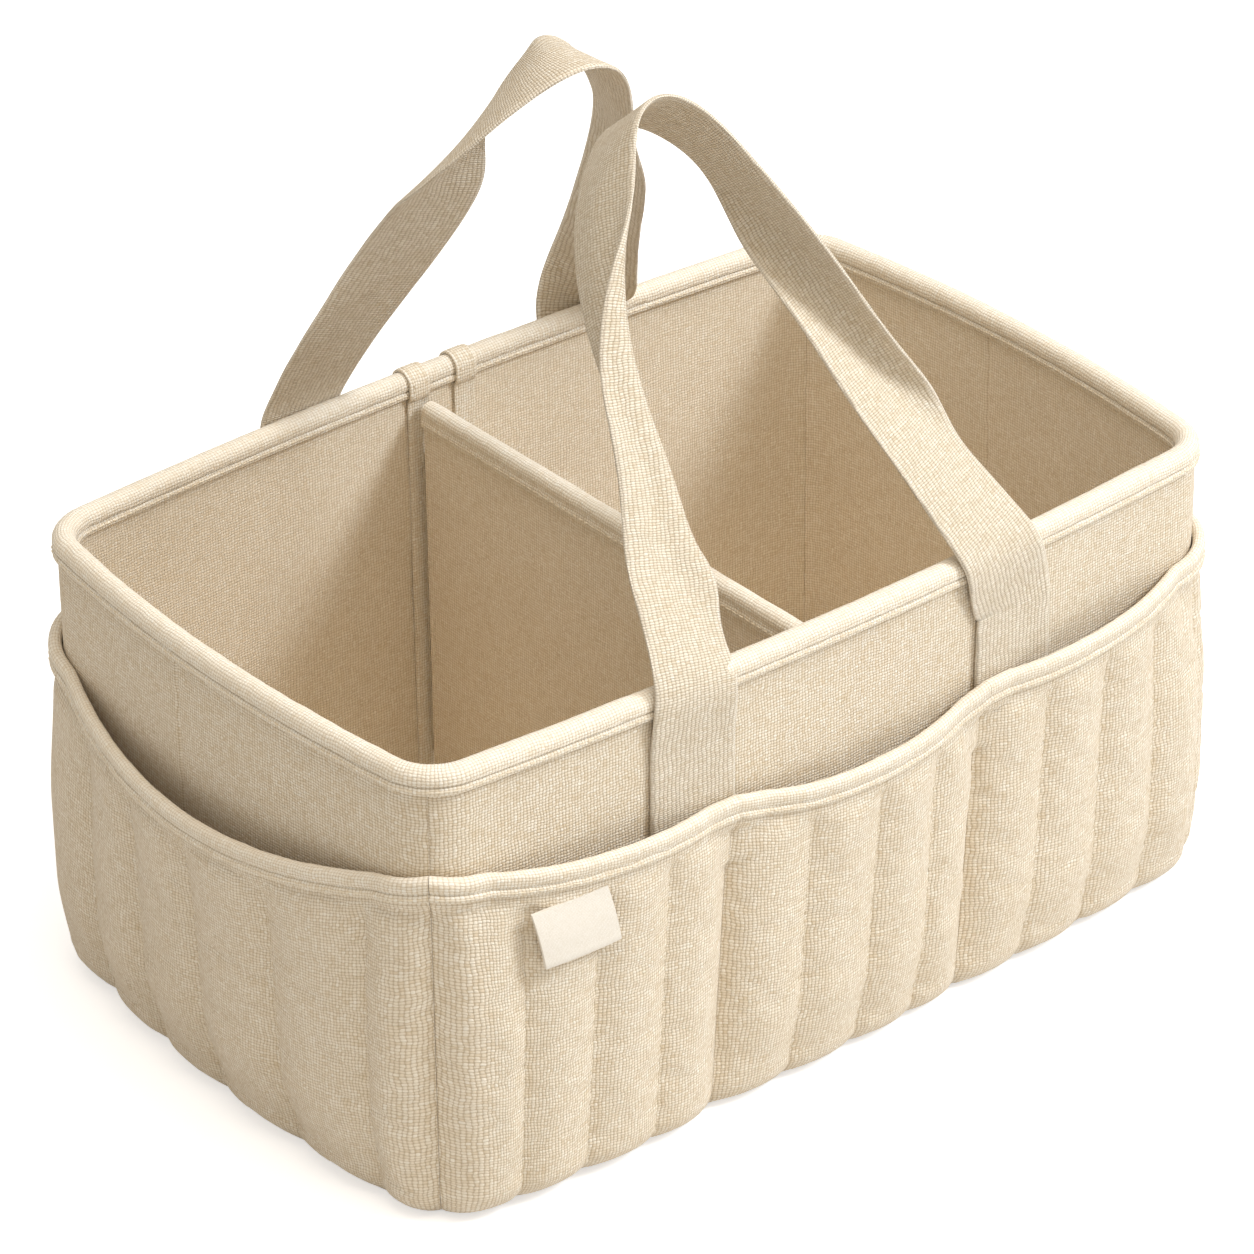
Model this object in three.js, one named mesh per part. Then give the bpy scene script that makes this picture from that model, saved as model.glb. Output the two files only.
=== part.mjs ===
// A soft-sided nursery caddy: an open canvas box with stiffening boards in its walls, a bound rim,
// quilted pockets all round, a lift-out divider, a folded tab and two webbing carrying handles.
// Lengths are millimetres and angles degrees. +Z is up, X runs along the box, and the front is -Y.
// The origin is the middle of the base, on the surface that the caddy stands on.

import * as THREE from 'three';

// The box: its walls are measured at their mid-surface, and each side bows outwards a little.
const halfLength = 174.5;
const halfWidth = 107;
const cornerRadius = 18;
const longSideBow = 6.6;
const endBow = 6.4;
const rimHeight = 178;

// Wall layers, from the board in the middle outwards and inwards.
const seamGap = 0.3;
const boardThickness = 2;
const coverThickness = 1.6;
const liningThickness = 1.4;
const wallBottom = 5.9;
const cornerAllowance = 6;

// Base layers, from the surface upwards.
const bottomPanelThickness = 2;
const baseBoardThickness = 3;
const floorLiningThickness = 2;

// Rim binding.
const bindingThickness = 1.2;
const rimBindingHeight = 9;
const rimFoldRise = 3.2;

// Pockets: a quilted panel that stands off the wall, curves under the base and ends in a sewn hem.
const pocketGape = 7;
const fillDepth = 55;
const closeHeight = 40;
const drawnHemSpaceShare = 0.25;
const fullHemSpaceShare = 0.9;
const mouthPower = 2.4;
const bodyPower = 4;
const endPocketFlare = 2.6;
const sidePocketFlare = 1;
const flareDepth = 45;
const endStraighten = 2.4;
const bodyRows = [75, 45, 22];
const outerHemTop = 13;
const quiltCrown = 2.9;
const quiltSeam = 1.5;
const hemThickness = 2;
const hemInset = 4;
const pocketBindingHeight = 8;
const pocketBindingThickness = 1.1;
const pocketFoldRise = 1.3;
const crownStart = 5;
const cornerTopDrop = 40.5;
const divisionTopDrop = 51;
const middlePocketDrop = 58;
const endPocketDrop = 60;
const divisionDip = 1.4;
const divisionHalf = 56;
const divisionShift = 1.5;
const pocketEndThickness = 2;
const pocketEndRamp = 1.5;

// Webbing handles.
const webbingWidth = 35;
const webbingThickness = 1.8;
const footDrop = 72;
const handleRootDrop = 26;
const footToPocketEnd = 3;
const bendRadius = 9;
const frontLean = 38.1;
const rearLean = 26.8;
const frontRise = 210;
const rearRise = 187;
const rimStandOff = 0.6;
const frontFootInset = 1.7;
const rearLeftFootInset = 15;
const cupRampShare = 0.22;

// Divider.
const dividerX = -8;
const dividerDrop = 11;
const dividerBoardThickness = 2.4;
const dividerSkinThickness = 1;
const dividerBindingHeight = 9;
const dividerFoldRise = 1.6;
const hookTapeThickness = 1.2;
const hookTapeInset = 12;

// Anchor strips, a pair on each long wall, one behind the divider and one spare.
const stripWidth = 9;
const stripThickness = 0.9;
const stripPitch = 19;
const stripOverhang = 12;
const stripBottom = 9;

// Folded tab below the front left pocket's binding.
const tabWidth = 30;
const tabDrop = 21;
const tabThickness = 1.6;
const tabFromDivision = 72.5;
const tabStandOff = 3;

// How finely curved stretches are divided.
const longSteps = 4;
const cornerSteps = 5;
const endSteps = 6;
const channelSteps = 3;
const hemSteps = 2;
const rimFoldSteps = 4;
const smallFoldSteps = 2;
const handleStepsPerKnot = 6;
const handleStrands = 5;
const threadsPerStrand = 4;
const closestPlaces = 1.5;

// Heights that follow the rim.
const pocketTopAtCorner = rimHeight - cornerTopDrop;
const pocketTopAtDivision = rimHeight - divisionTopDrop;
const middlePocketLow = rimHeight - middlePocketDrop;
const endPocketLow = rimHeight - endPocketDrop;
const footBottom = rimHeight - footDrop;
const handleRoot = rimHeight - handleRootDrop;
const dividerTop = rimHeight - dividerDrop;
const endTop = footBottom - footToPocketEnd;

// Offsets from the wall's mid-surface, outwards positive.
const boardFace = boardThickness / 2;
const coverInner = boardFace + seamGap;
const coverOuter = coverInner + coverThickness;
const liningOuter = -boardFace - seamGap;
const liningInner = liningOuter - liningThickness;
const wallTop = rimHeight - rimFoldRise - seamGap - bindingThickness;
const rimBindingBottom = rimHeight - rimBindingHeight;
const rimBindingInner = liningInner - seamGap - bindingThickness;
const rimBindingOuter = coverOuter + seamGap + bindingThickness;
const webbingInner = coverOuter + seamGap;
const webbingOuter = webbingInner + webbingThickness;
const coverBottom = hemThickness + webbingInner + hemInset + seamGap;
const innerHemTop = coverBottom - seamGap;
const baseEdge = -hemInset - seamGap;
const floorEdge = liningInner - seamGap;
const baseBoardBottom = bottomPanelThickness + seamGap;
const floorLiningBottom = baseBoardBottom + baseBoardThickness + seamGap;
const floorTop = floorLiningBottom + floorLiningThickness;

const radians = THREE.MathUtils.degToRad;
const quarterTurn = radians(90);

// The outline seen from above is a chain of arcs, tangent to each other: bowed sides and round corners.
// It runs counter-clockwise from the middle of the front, and a place on it is a distance along it.
function bowedSide(cornerCentre, bow) {
  const depth = (cornerCentre ** 2 - bow ** 2) / (2 * bow);
  return { depth, radius: depth + bow + cornerRadius, halfAngle: Math.atan2(cornerCentre, depth) };
}

const cornerX = halfLength - cornerRadius;
const cornerY = halfWidth - cornerRadius;
const longSide = bowedSide(cornerX, longSideBow);
const endSide = bowedSide(cornerY, endBow);

function outlineArcs() {
  const arcs = [];
  let distance = 0;
  const add = (x, y, radius, from, to, steps) => {
    arcs.push({ x, y, radius, from, start: distance, end: distance + radius * (to - from), steps });
    distance += radius * (to - from);
  };
  const alongAngle = longSide.halfAngle;
  const endAngle = endSide.halfAngle;
  const farSide = quarterTurn * 2;
  const frontY = longSide.depth - cornerY;
  const endX = cornerX - endSide.depth;
  add(0, frontY, longSide.radius, -quarterTurn, -quarterTurn + alongAngle, longSteps);
  add(cornerX, -cornerY, cornerRadius, -quarterTurn + alongAngle, -endAngle, cornerSteps);
  add(endX, 0, endSide.radius, -endAngle, endAngle, endSteps);
  add(cornerX, cornerY, cornerRadius, endAngle, quarterTurn - alongAngle, cornerSteps);
  add(0, -frontY, longSide.radius, quarterTurn - alongAngle, quarterTurn + alongAngle, longSteps * 2);
  add(-cornerX, cornerY, cornerRadius, quarterTurn + alongAngle, farSide - endAngle, cornerSteps);
  add(-endX, 0, endSide.radius, farSide - endAngle, farSide + endAngle, endSteps);
  add(-cornerX, -cornerY, cornerRadius, farSide + endAngle, farSide + quarterTurn - alongAngle, cornerSteps);
  add(0, frontY, longSide.radius, farSide + quarterTurn - alongAngle, farSide + quarterTurn, longSteps);
  return arcs;
}

const arcs = outlineArcs();
const outlineLength = arcs[arcs.length - 1].end;
const [, frontRightCorner, rightSide, rearRightCorner] = arcs;
const [rearSide, rearLeftCorner, leftSide, frontLeftCorner] = arcs.slice(4);
const frontStart = frontLeftCorner.end - outlineLength;
const middleOf = (arc) => (arc.start + arc.end) / 2;

const withinOutline = (along) => THREE.MathUtils.euclideanModulo(along, outlineLength);
const arcAt = (along) => arcs.find((arc) => withinOutline(along) <= arc.end) ?? arcs[arcs.length - 1];

function place(along, offset, z) {
  const arc = arcAt(along);
  const angle = arc.from + (withinOutline(along) - arc.start) / arc.radius;
  const reach = arc.radius + offset;
  return new THREE.Vector3(arc.x + reach * Math.cos(angle), arc.y + reach * Math.sin(angle), z);
}

// The distance along the outline at which a long side passes a given X.
const frontAt = (x) => longSide.radius * Math.asin(x / longSide.radius);
const rearAt = (x) => middleOf(rearSide) - frontAt(x);

// Places along the outline where every layer of the wall has its facets, so that the layers stay parallel.
const wallPlaces = arcs.flatMap((arc) =>
  Array.from({ length: arc.steps }, (_, i) => arc.start + ((arc.end - arc.start) * i) / arc.steps),
);

function stationsBetween(from, to) {
  const laps = [-outlineLength, 0, outlineLength];
  const inside = laps.flatMap((lap) => wallPlaces.map((along) => along + lap));
  return [from, ...inside.filter((along) => along > from + seamGap && along < to - seamGap), to];
}

function bodyFrom(points, faces) {
  const geometry = new THREE.BufferGeometry();
  geometry.setAttribute('position', new THREE.Float32BufferAttribute(points.flatMap((p) => p.toArray()), 3));
  geometry.setIndex(faces.flat());
  geometry.computeVertexNormals();
  return geometry;
}

// A section, listed counter-clockwise as pairs of offset and height, is carried along the outline.
function sweep(stations, sectionAt, closed = false) {
  const sections = stations.map(sectionAt);
  const count = sections[0].length;
  const points = sections.flatMap((section, i) => section.map(([d, z]) => place(stations[i], d, z)));
  const faces = [];
  const spans = closed ? stations.length : stations.length - 1;
  for (let i = 0; i < spans; i += 1) {
    const next = (i + 1) % stations.length;
    for (let j = 0; j < count; j += 1) {
      const side = (j + 1) % count;
      const [a, b, c, d] = [i * count + j, next * count + j, next * count + side, i * count + side];
      faces.push([a, b, c], [a, c, d]);
    }
  }
  // The two faces of a section run side by side, so an end is closed from each point to the one facing it.
  const last = (stations.length - 1) * count;
  for (let j = 0; !closed && j < count / 2 - 1; j += 1) {
    const [a, b, c, d] = [j, j + 1, count - 2 - j, count - 1 - j];
    faces.push([a, b, c], [a, c, d], [last + c, last + b, last + a], [last + d, last + c, last + a]);
  }
  return bodyFrom(points, faces);
}

const band = (inner, outer, bottom, top) => [
  [inner, bottom],
  [outer, bottom],
  [outer, top],
  [inner, top],
];

// A strip folded over an edge: two legs and a rounded fold, open below.
function foldedSection(innerFace, outerFace, edgeTop, legBottom, thickness, foldRise, foldSteps) {
  const middle = (innerFace + outerFace) / 2;
  const innerHalf = (outerFace - innerFace) / 2 + seamGap;
  const innerTop = edgeTop + seamGap;
  const arch = (half, rise) =>
    Array.from({ length: foldSteps + 1 }, (_, i) => {
      const angle = (quarterTurn * 2 * i) / foldSteps;
      return [middle + half * Math.cos(angle), innerTop + rise * Math.sin(angle)];
    });
  const outside = arch(innerHalf + thickness, foldRise + thickness);
  const inside = arch(innerHalf, foldRise).reverse();
  return [
    [middle + innerHalf + thickness, legBottom],
    ...outside,
    [middle - innerHalf - thickness, legBottom],
    [middle - innerHalf, legBottom],
    ...inside,
    [middle + innerHalf, legBottom],
  ];
}

const caddy = new THREE.Group();

const finishes = {
  canvas: { color: 0xe3d4bb, roughness: 0.92 },
  lining: { color: 0xdccbb0, roughness: 0.92 },
  binding: { color: 0xe9dcc6, roughness: 0.9 },
  webbing: { color: 0xe2d3ba, roughness: 0.88 },
  tab: { color: 0xf1e7d6, roughness: 0.75 },
  board: { color: 0xd9d6cf, roughness: 0.6 },
  tape: { color: 0xe6dac6, roughness: 0.95 },
};

function addPiece(name, finish, geometry) {
  const material = new THREE.MeshStandardMaterial({ ...finishes[finish], metalness: 0 });
  const mesh = new THREE.Mesh(geometry, material);
  mesh.name = name;
  caddy.add(mesh);
  return mesh;
}

// Base: the outer bottom panel, the stiff board and the padded floor lining.
function addBase() {
  const slab = (edge, bottom, top) => {
    const edgePoints = wallPlaces.map((along) => place(along, edge, bottom));
    const contour = edgePoints.map(({ x, y }) => new THREE.Vector2(x, y));
    const options = { depth: top - bottom, bevelEnabled: false };
    const geometry = new THREE.ExtrudeGeometry(new THREE.Shape(contour), options);
    return geometry.translate(0, 0, bottom);
  };
  addPiece('bottom_panel', 'canvas', slab(baseEdge, 0, bottomPanelThickness));
  addPiece('base_board', 'board', slab(baseEdge, baseBoardBottom, baseBoardBottom + baseBoardThickness));
  addPiece('floor_lining', 'lining', slab(floorEdge, floorLiningBottom, floorTop));
}

// Walls: four boards, and an outer cover and a lining that are each sewn from two L-shaped panels.
function addWalls() {
  const boards = {
    front_wall_board: [frontStart + cornerAllowance, frontRightCorner.start - cornerAllowance],
    right_wall_board: [rightSide.start + cornerAllowance, rightSide.end - cornerAllowance],
    rear_wall_board: [rearSide.start + cornerAllowance, rearSide.end - cornerAllowance],
    left_wall_board: [leftSide.start + cornerAllowance, leftSide.end - cornerAllowance],
  };
  Object.entries(boards).forEach(([name, [from, to]]) => {
    const section = band(-boardFace, boardFace, wallBottom, wallTop);
    addPiece(name, 'board', sweep(stationsBetween(from, to), () => section));
  });
  const nearSeam = middleOf(frontLeftCorner) - outlineLength;
  const farSeam = middleOf(rearRightCorner);
  const panels = {
    front_right: [nearSeam + seamGap / 2, farSeam - seamGap / 2],
    rear_left: [farSeam + seamGap / 2, nearSeam + outlineLength - seamGap / 2],
  };
  Object.entries(panels).forEach(([name, [from, to]]) => {
    const stations = stationsBetween(from, to);
    const cover = band(coverInner, coverOuter, coverBottom, wallTop);
    const lining = band(liningInner, liningOuter, wallBottom, wallTop);
    addPiece(`outer_cover_${name}`, 'canvas', sweep(stations, () => cover));
    addPiece(`lining_${name}`, 'lining', sweep(stations, () => lining));
  });
  const rim = foldedSection(
    liningInner,
    coverOuter,
    wallTop,
    rimBindingBottom,
    bindingThickness,
    rimFoldRise,
    rimFoldSteps,
  );
  addPiece('rim_binding', 'binding', sweep(wallPlaces, () => rim, true));
}

// A pocket's top edge dips between its ends, to its lowest at a share of its length.
function pocketTopAt(pocket, share) {
  const { topAtStart, topAtEnd, low, lowShare, dipPower } = pocket;
  const before = share < lowShare;
  const reach = before ? (lowShare - share) / lowShare : (share - lowShare) / (1 - lowShare || 1);
  return low + ((before ? topAtStart : topAtEnd) - low) * reach ** dipPower;
}

// Quilting: each channel is full in its middle and pinched at its stitched seams.
function channelFullness(pocket, share) {
  const edges = [0, ...pocket.seamShares, 1];
  const index = Math.max(1, edges.findIndex((edge) => edge >= share));
  const across = (share - edges[index - 1]) / (edges[index] - edges[index - 1]);
  return 1 - Math.abs(2 * across - 1) ** 3;
}

// A pocket's places: its ends, its seams, the channels between them, and the wall's own facets.
function pocketStations(pocket) {
  const { from, to, seamShares } = pocket;
  const edges = [0, ...seamShares, 1].map((share) => from + (to - from) * share);
  const endPlaces = [0, pocketEndThickness, pocketEndThickness + pocketEndRamp];
  const stations = endPlaces.flatMap((d) => [from + d, to - d]);
  stations.push(...edges.slice(1, -1));
  const inChannels = edges.slice(1).flatMap((edge, i) =>
    Array.from(
      { length: channelSteps - 1 },
      (_, k) => edges[i] + ((edge - edges[i]) * (k + 1)) / channelSteps,
    ),
  );
  const onSides = inChannels.filter((along) => arcAt(along).radius > cornerRadius);
  [...onSides, ...stationsBetween(from, to)].forEach((along) => {
    if (stations.every((other) => Math.abs(other - along) > closestPlaces)) stations.push(along);
  });
  return stations.sort((a, b) => a - b);
}

// How far along its flat stretch, the part that isn't round a corner, a place on a panel is.
function flatShareAt({ from, to }, along) {
  const flats = [rightSide, rearSide, leftSide].map(({ start, end }) => [start, end]);
  flats.push([frontStart, frontRightCorner.start]);
  const middle = (from + to) / 2;
  const [start, end] = flats.find(([first, last]) => first < middle && middle < last);
  const flatFrom = Math.max(from, start);
  const flatTo = Math.min(to, end);
  return THREE.MathUtils.clamp((along - flatFrom) / (flatTo - flatFrom), 0, 1);
}

// How far a panel's inner face is from the wall. The panel is sewn down along its two ends, opens in between
// and has its mouth drawn tight round the corners. Below it the panel fills out and closes towards its hem.
function pocketSpaceAt(pocket, along, share, top, z) {
  const belowMouth = Math.max(0, top - pocketBindingHeight - z);
  const filled = THREE.MathUtils.smoothstep(belowMouth, 0, fillDepth);
  const fromHem = THREE.MathUtils.smoothstep(z, 0, closeHeight);
  const closing = THREE.MathUtils.lerp(pocket.hemSpaceShare, 1, fromHem);
  const mouthOpened = 1 - Math.abs(2 * flatShareAt(pocket, along) - 1) ** mouthPower;
  const bodyOpened = 1 - Math.abs(2 * share - 1) ** bodyPower;
  const opened = THREE.MathUtils.lerp(mouthOpened, bodyOpened, filled);
  const flared = pocket.flare * mouthOpened * Math.max(0, 1 - belowMouth / flareDepth) ** 2;
  const straight = pocket.straighten * bodyOpened * (1 - fromHem);
  return seamGap + Math.max(0, pocketGape * closing * opened - straight) + flared;
}

function pocketFacesAt(pocket, along) {
  const { from, to } = pocket;
  const share = (along - from) / (to - from);
  const top = pocketTopAt(pocket, share);
  const overFoot = pocket.footShares[0] <= share && share <= pocket.footShares[1];
  // Behind the panel is the cover or a handle's foot, and along its mouth also the binding's inner leg.
  const innerAt = (z) => {
    const behind = overFoot && z > endTop - seamGap ? webbingOuter : coverOuter;
    const leg = z > top - pocketBindingHeight - seamGap ? seamGap + pocketBindingThickness : 0;
    return Math.max(behind + seamGap + leg, coverOuter + pocketSpaceAt(pocket, along, share, top, z));
  };
  const fromEnd = Math.min(along - from, to - along);
  const dip = divisionDip * Math.max(0, 1 - fromEnd / (pocketEndThickness + pocketEndRamp));
  const quilt = quiltSeam + (quiltCrown - quiltSeam) * channelFullness(pocket, share) - dip;
  return { top, innerAt, quilt };
}

function pocketSection(pocket, along) {
  const { top, innerAt, quilt } = pocketFacesAt(pocket, along);
  const hemBottom = top - pocketBindingHeight;
  const quiltedRows = [hemBottom - crownStart, endTop, endTop - pocketEndRamp, ...bodyRows, outerHemTop];
  const outside = [top, hemBottom].map((z) => [innerAt(z) + hemThickness, z]);
  outside.push(...quiltedRows.map((z) => [innerAt(z) + quilt, z]));
  const inside = [top, hemBottom, ...quiltedRows.slice(0, -1), innerHemTop].map((z) => [innerAt(z), z]);
  const outerReach = innerAt(outerHemTop) + quilt + hemInset;
  const innerReach = innerAt(innerHemTop) + hemInset;
  for (let i = 1; i <= hemSteps; i += 1) {
    const angle = (quarterTurn * i) / hemSteps;
    const fall = 1 - Math.sin(angle);
    outside.push([outerReach * Math.cos(angle) - hemInset, outerHemTop * fall]);
    const innerRise = hemThickness + (innerHemTop - hemThickness) * fall;
    inside.push([innerReach * Math.cos(angle) - hemInset, innerRise]);
  }
  return [...outside.reverse(), ...inside];
}

function addPocket(name, pocket) {
  const stations = pocketStations(pocket);
  addPiece(`${name}_pocket`, 'canvas', sweep(stations, (along) => pocketSection(pocket, along)));
  const bindingSection = (along) => {
    const { top, innerAt } = pocketFacesAt(pocket, along);
    const inner = innerAt(top);
    const outer = inner + hemThickness;
    const legBottom = top - pocketBindingHeight + crownStart / 2;
    const fold = [pocketBindingThickness, pocketFoldRise, smallFoldSteps];
    return foldedSection(inner, outer, top, legBottom, ...fold);
  };
  addPiece(`${name}_pocket_binding`, 'binding', sweep(stations, bindingSection));
}

const leftDivision = divisionShift - divisionHalf;
const rightDivision = divisionShift + divisionHalf;

function addPockets() {
  const half = seamGap / 2;
  const nearCorner = middleOf(frontLeftCorner);
  const quarterShares = [0.25, 0.5, 0.75];
  const middleShares = [0.28, 0.55, 0.79];
  const frontRightShares = [0.23, 0.45, 0.67, 0.88];
  const leftEndShares = [0.21, 0.35, 0.51, 0.7, 0.9];
  const rightEndShares = [0.17, 0.34, 0.5, 0.67, 0.84];
  const dip = (topAtStart, topAtEnd, low, lowShare) => ({ topAtStart, topAtEnd, low, lowShare });
  const dips = {
    towardsDivision: dip(pocketTopAtCorner, pocketTopAtDivision, pocketTopAtDivision, 1),
    fromDivision: dip(pocketTopAtDivision, pocketTopAtCorner, pocketTopAtDivision, 0),
    middle: dip(pocketTopAtDivision, pocketTopAtDivision, middlePocketLow, 0.5),
    end: dip(pocketTopAtCorner, pocketTopAtCorner, endPocketLow, 0.5),
  };
  const sideSpace = { flare: sidePocketFlare, straighten: 0, hemSpaceShare: drawnHemSpaceShare };
  const side = { dipPower: 2.3, ...sideSpace };
  const leftFoot = { ...side, hemSpaceShare: fullHemSpaceShare, footShares: [0.4, 1] };
  const bothFeet = { ...side, footShares: [0, 1] };
  const rightFoot = { ...side, footShares: [0, 0.6] };
  const endSpace = { flare: endPocketFlare, straighten: endStraighten, hemSpaceShare: drawnHemSpaceShare };
  const noFoot = { dipPower: 1.7, ...endSpace, footShares: [1, 0] };
  const { towardsDivision, fromDivision } = dips;
  const pockets = {
    front_left: [nearCorner - outlineLength, frontAt(leftDivision), quarterShares, towardsDivision, leftFoot],
    front_middle: [frontAt(leftDivision), frontAt(rightDivision), middleShares, dips.middle, bothFeet],
    front_right: [frontAt(rightDivision), frontRightCorner.end, frontRightShares, fromDivision, rightFoot],
    right_end: [frontRightCorner.end, middleOf(rearRightCorner), rightEndShares, dips.end, noFoot],
    rear_right: [middleOf(rearRightCorner), rearAt(rightDivision), quarterShares, towardsDivision, leftFoot],
    rear_middle: [rearAt(rightDivision), rearAt(leftDivision), quarterShares, dips.middle, bothFeet],
    rear_left: [rearAt(leftDivision), rearLeftCorner.start, quarterShares, fromDivision, rightFoot],
    left_end: [rearLeftCorner.start, nearCorner, leftEndShares, dips.end, noFoot],
  };
  Object.entries(pockets).forEach(([name, [from, to, seamShares, sag, space]]) => {
    addPocket(name, { from: from + half, to: to - half, seamShares, ...sag, ...space });
  });
}

// Each handle starts at two feet sewn flat on the wall, over the divisions of the middle pocket.
const divisionFeet = [leftDivision - webbingWidth / 2, rightDivision + webbingWidth / 2];
const frontFeet = [divisionFeet[0] + frontFootInset, divisionFeet[1] - frontFootInset];
const rearFeet = [divisionFeet[0] + rearLeftFootInset, divisionFeet[1] - frontFootInset];

function addFeet() {
  const section = band(webbingInner, webbingOuter, footBottom, handleRoot - seamGap / 2);
  const half = webbingWidth / 2;
  const feet = {
    front_left_handle_foot: frontAt(frontFeet[0]),
    front_right_handle_foot: frontAt(frontFeet[1]),
    rear_right_handle_foot: rearAt(rearFeet[1]),
    rear_left_handle_foot: rearAt(rearFeet[0]),
  };
  Object.entries(feet).forEach(([name, middle]) => {
    addPiece(name, 'webbing', sweep(stationsBetween(middle - half, middle + half), () => section));
  });
}

// From its feet a handle rises along the wall, clears the rim, bends over it and leans inwards.
// This gives the offset and height after a climb measured along the webbing from the feet.
const bendStart = wallTop - handleRoot;

function handleProfile(lean, climb) {
  const footOffset = (webbingInner + webbingOuter) / 2;
  const rimOffset = rimBindingOuter + rimStandOff + webbingThickness / 2;
  const rise = Math.min(climb, bendStart);
  const offset = THREE.MathUtils.lerp(footOffset, rimOffset, THREE.MathUtils.smoothstep(rise, 0, bendStart));
  const bendLength = bendRadius * lean;
  const turned = THREE.MathUtils.clamp((climb - bendStart) / bendLength, 0, 1) * lean;
  const beyond = Math.max(0, climb - bendStart - bendLength);
  return [
    offset - bendRadius * (1 - Math.cos(turned)) - beyond * Math.sin(lean),
    handleRoot + rise + bendRadius * Math.sin(turned) + beyond * Math.cos(lean),
  ];
}

// The middle line of a handle, as places across the caddy, climbs and turns about its own length.
function handleRoute({ feet, lean, rise, acrossShares, riseShares, turns }) {
  const halfSpan = (feet[1] - feet[0]) / 2;
  const middle = (feet[1] + feet[0]) / 2;
  const bendEnd = bendStart + bendRadius * lean;
  const climbs = [
    seamGap,
    bendStart,
    bendEnd,
    ...riseShares.map((share) => share * rise),
    bendEnd,
    bendStart,
    seamGap,
  ];
  const shares = [-1, ...acrossShares, 1];
  const knots = climbs.map(
    (climb, i) => new THREE.Vector3(middle + shares[i] * halfSpan, climb, radians(turns[i - 3] ?? 0)),
  );
  return new THREE.CatmullRomCurve3(knots, false, 'centripetal');
}

// A handle is a ribbon on that curved sheet. On the way up it turns until it lies edge to the front,
// and one of its edges turns sooner than the other, which cups the webbing on each leg.
function handleGeometry(handle) {
  const route = handleRoute(handle);
  const lastKnot = route.points.length - 1;
  const steps = lastKnot * handleStepsPerKnot;
  const freeKnots = lastKnot - 4;
  const onSheet = (x, climb) => place(handle.alongAt(x), ...handleProfile(handle.lean, climb));
  const nudge = webbingThickness;
  const threads = handleStrands * threadsPerStrand;
  const rings = [];
  for (let i = 0; i <= steps; i += 1) {
    const { x, y: climb } = route.getPoint(i / steps);
    const heading = route.getTangent(i / steps);
    const middle = onSheet(x, climb);
    const alongX = onSheet(x + nudge, climb).sub(middle).normalize();
    const upSheet = onSheet(x, climb + nudge).sub(middle);
    upSheet.addScaledVector(alongX, -upSheet.dot(alongX)).normalize();
    const facing = alongX.clone().cross(upSheet);
    const atFoot = i === 0 || i === steps;
    const run = new THREE.Vector2(heading.x, heading.y).normalize();
    if (atFoot) run.set(0, Math.sign(heading.y));
    const outwards = alongX.clone().multiplyScalar(-run.y).addScaledVector(upSheet, run.x);
    const free = THREE.MathUtils.clamp((i / handleStepsPerKnot - 2) / freeKnots, 0, 1);
    const rampUp = THREE.MathUtils.smoothstep(Math.min(free, 1 - free), 0, cupRampShare);
    const swell = Math.abs(Math.cos(free * Math.PI)) * rampUp;
    const lag = swell * handle.lagShares[free < 1 / 2 ? 0 : 1] * freeKnots;
    const turnAt = (share) => {
      const knot = i / handleStepsPerKnot + lag * (1 / 2 - share);
      return route.getPoint(THREE.MathUtils.clamp(knot, 2, lastKnot - 2) / lastKnot).z;
    };
    // The section across the webbing, added up from its inner edge to its outer edge.
    const section = [new THREE.Vector2()];
    for (let k = 0; k < threads; k += 1) {
      const turn = turnAt((k + 1 / 2) / threads);
      const step = new THREE.Vector2(Math.cos(turn), Math.sin(turn)).multiplyScalar(webbingWidth / threads);
      section.push(section[k].clone().add(step));
    }
    const sum = section.reduce((total, point) => total.add(point), new THREE.Vector2());
    const centre = sum.divideScalar(section.length);
    section.forEach((point) => point.sub(centre));
    const kept = section.filter((_, k) => k % threadsPerStrand === 0);
    const through = kept.map((_, k) => {
      const chord = kept[Math.min(k + 1, handleStrands)].clone().sub(kept[Math.max(k - 1, 0)]).normalize();
      return new THREE.Vector2(-chord.y, chord.x).multiplyScalar(webbingThickness / 2);
    });
    const inSpace = ({ x: across, y: over }) =>
      middle.clone().addScaledVector(outwards, across).addScaledVector(facing, over);
    const upper = kept.map((point, k) => inSpace(point.clone().add(through[k]))).reverse();
    const under = kept.map((point, k) => inSpace(point.clone().sub(through[k])));
    rings.push([...upper, ...under]);
  }
  const count = rings[0].length;
  const faces = [];
  for (let i = 0; i < steps; i += 1) {
    for (let j = 0; j < count; j += 1) {
      const [a, b] = [i * count + j, i * count + ((j + 1) % count)];
      // The under side is split along the same diagonals as the upper one, so that the ribbon stays thick.
      if (j > handleStrands) faces.push([a, b, a + count], [b, b + count, a + count]);
      else faces.push([a, b, b + count], [a, b + count, a + count]);
    }
  }
  const last = steps * count;
  for (let k = 0; k < handleStrands; k += 1) {
    const [a, b, c, d] = [k, k + 1, count - 2 - k, count - 1 - k];
    faces.push([c, b, a], [d, c, a], [last + a, last + b, last + c], [last + a, last + c, last + d]);
  }
  return bodyFrom(rings.flat(), faces);
}

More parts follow.
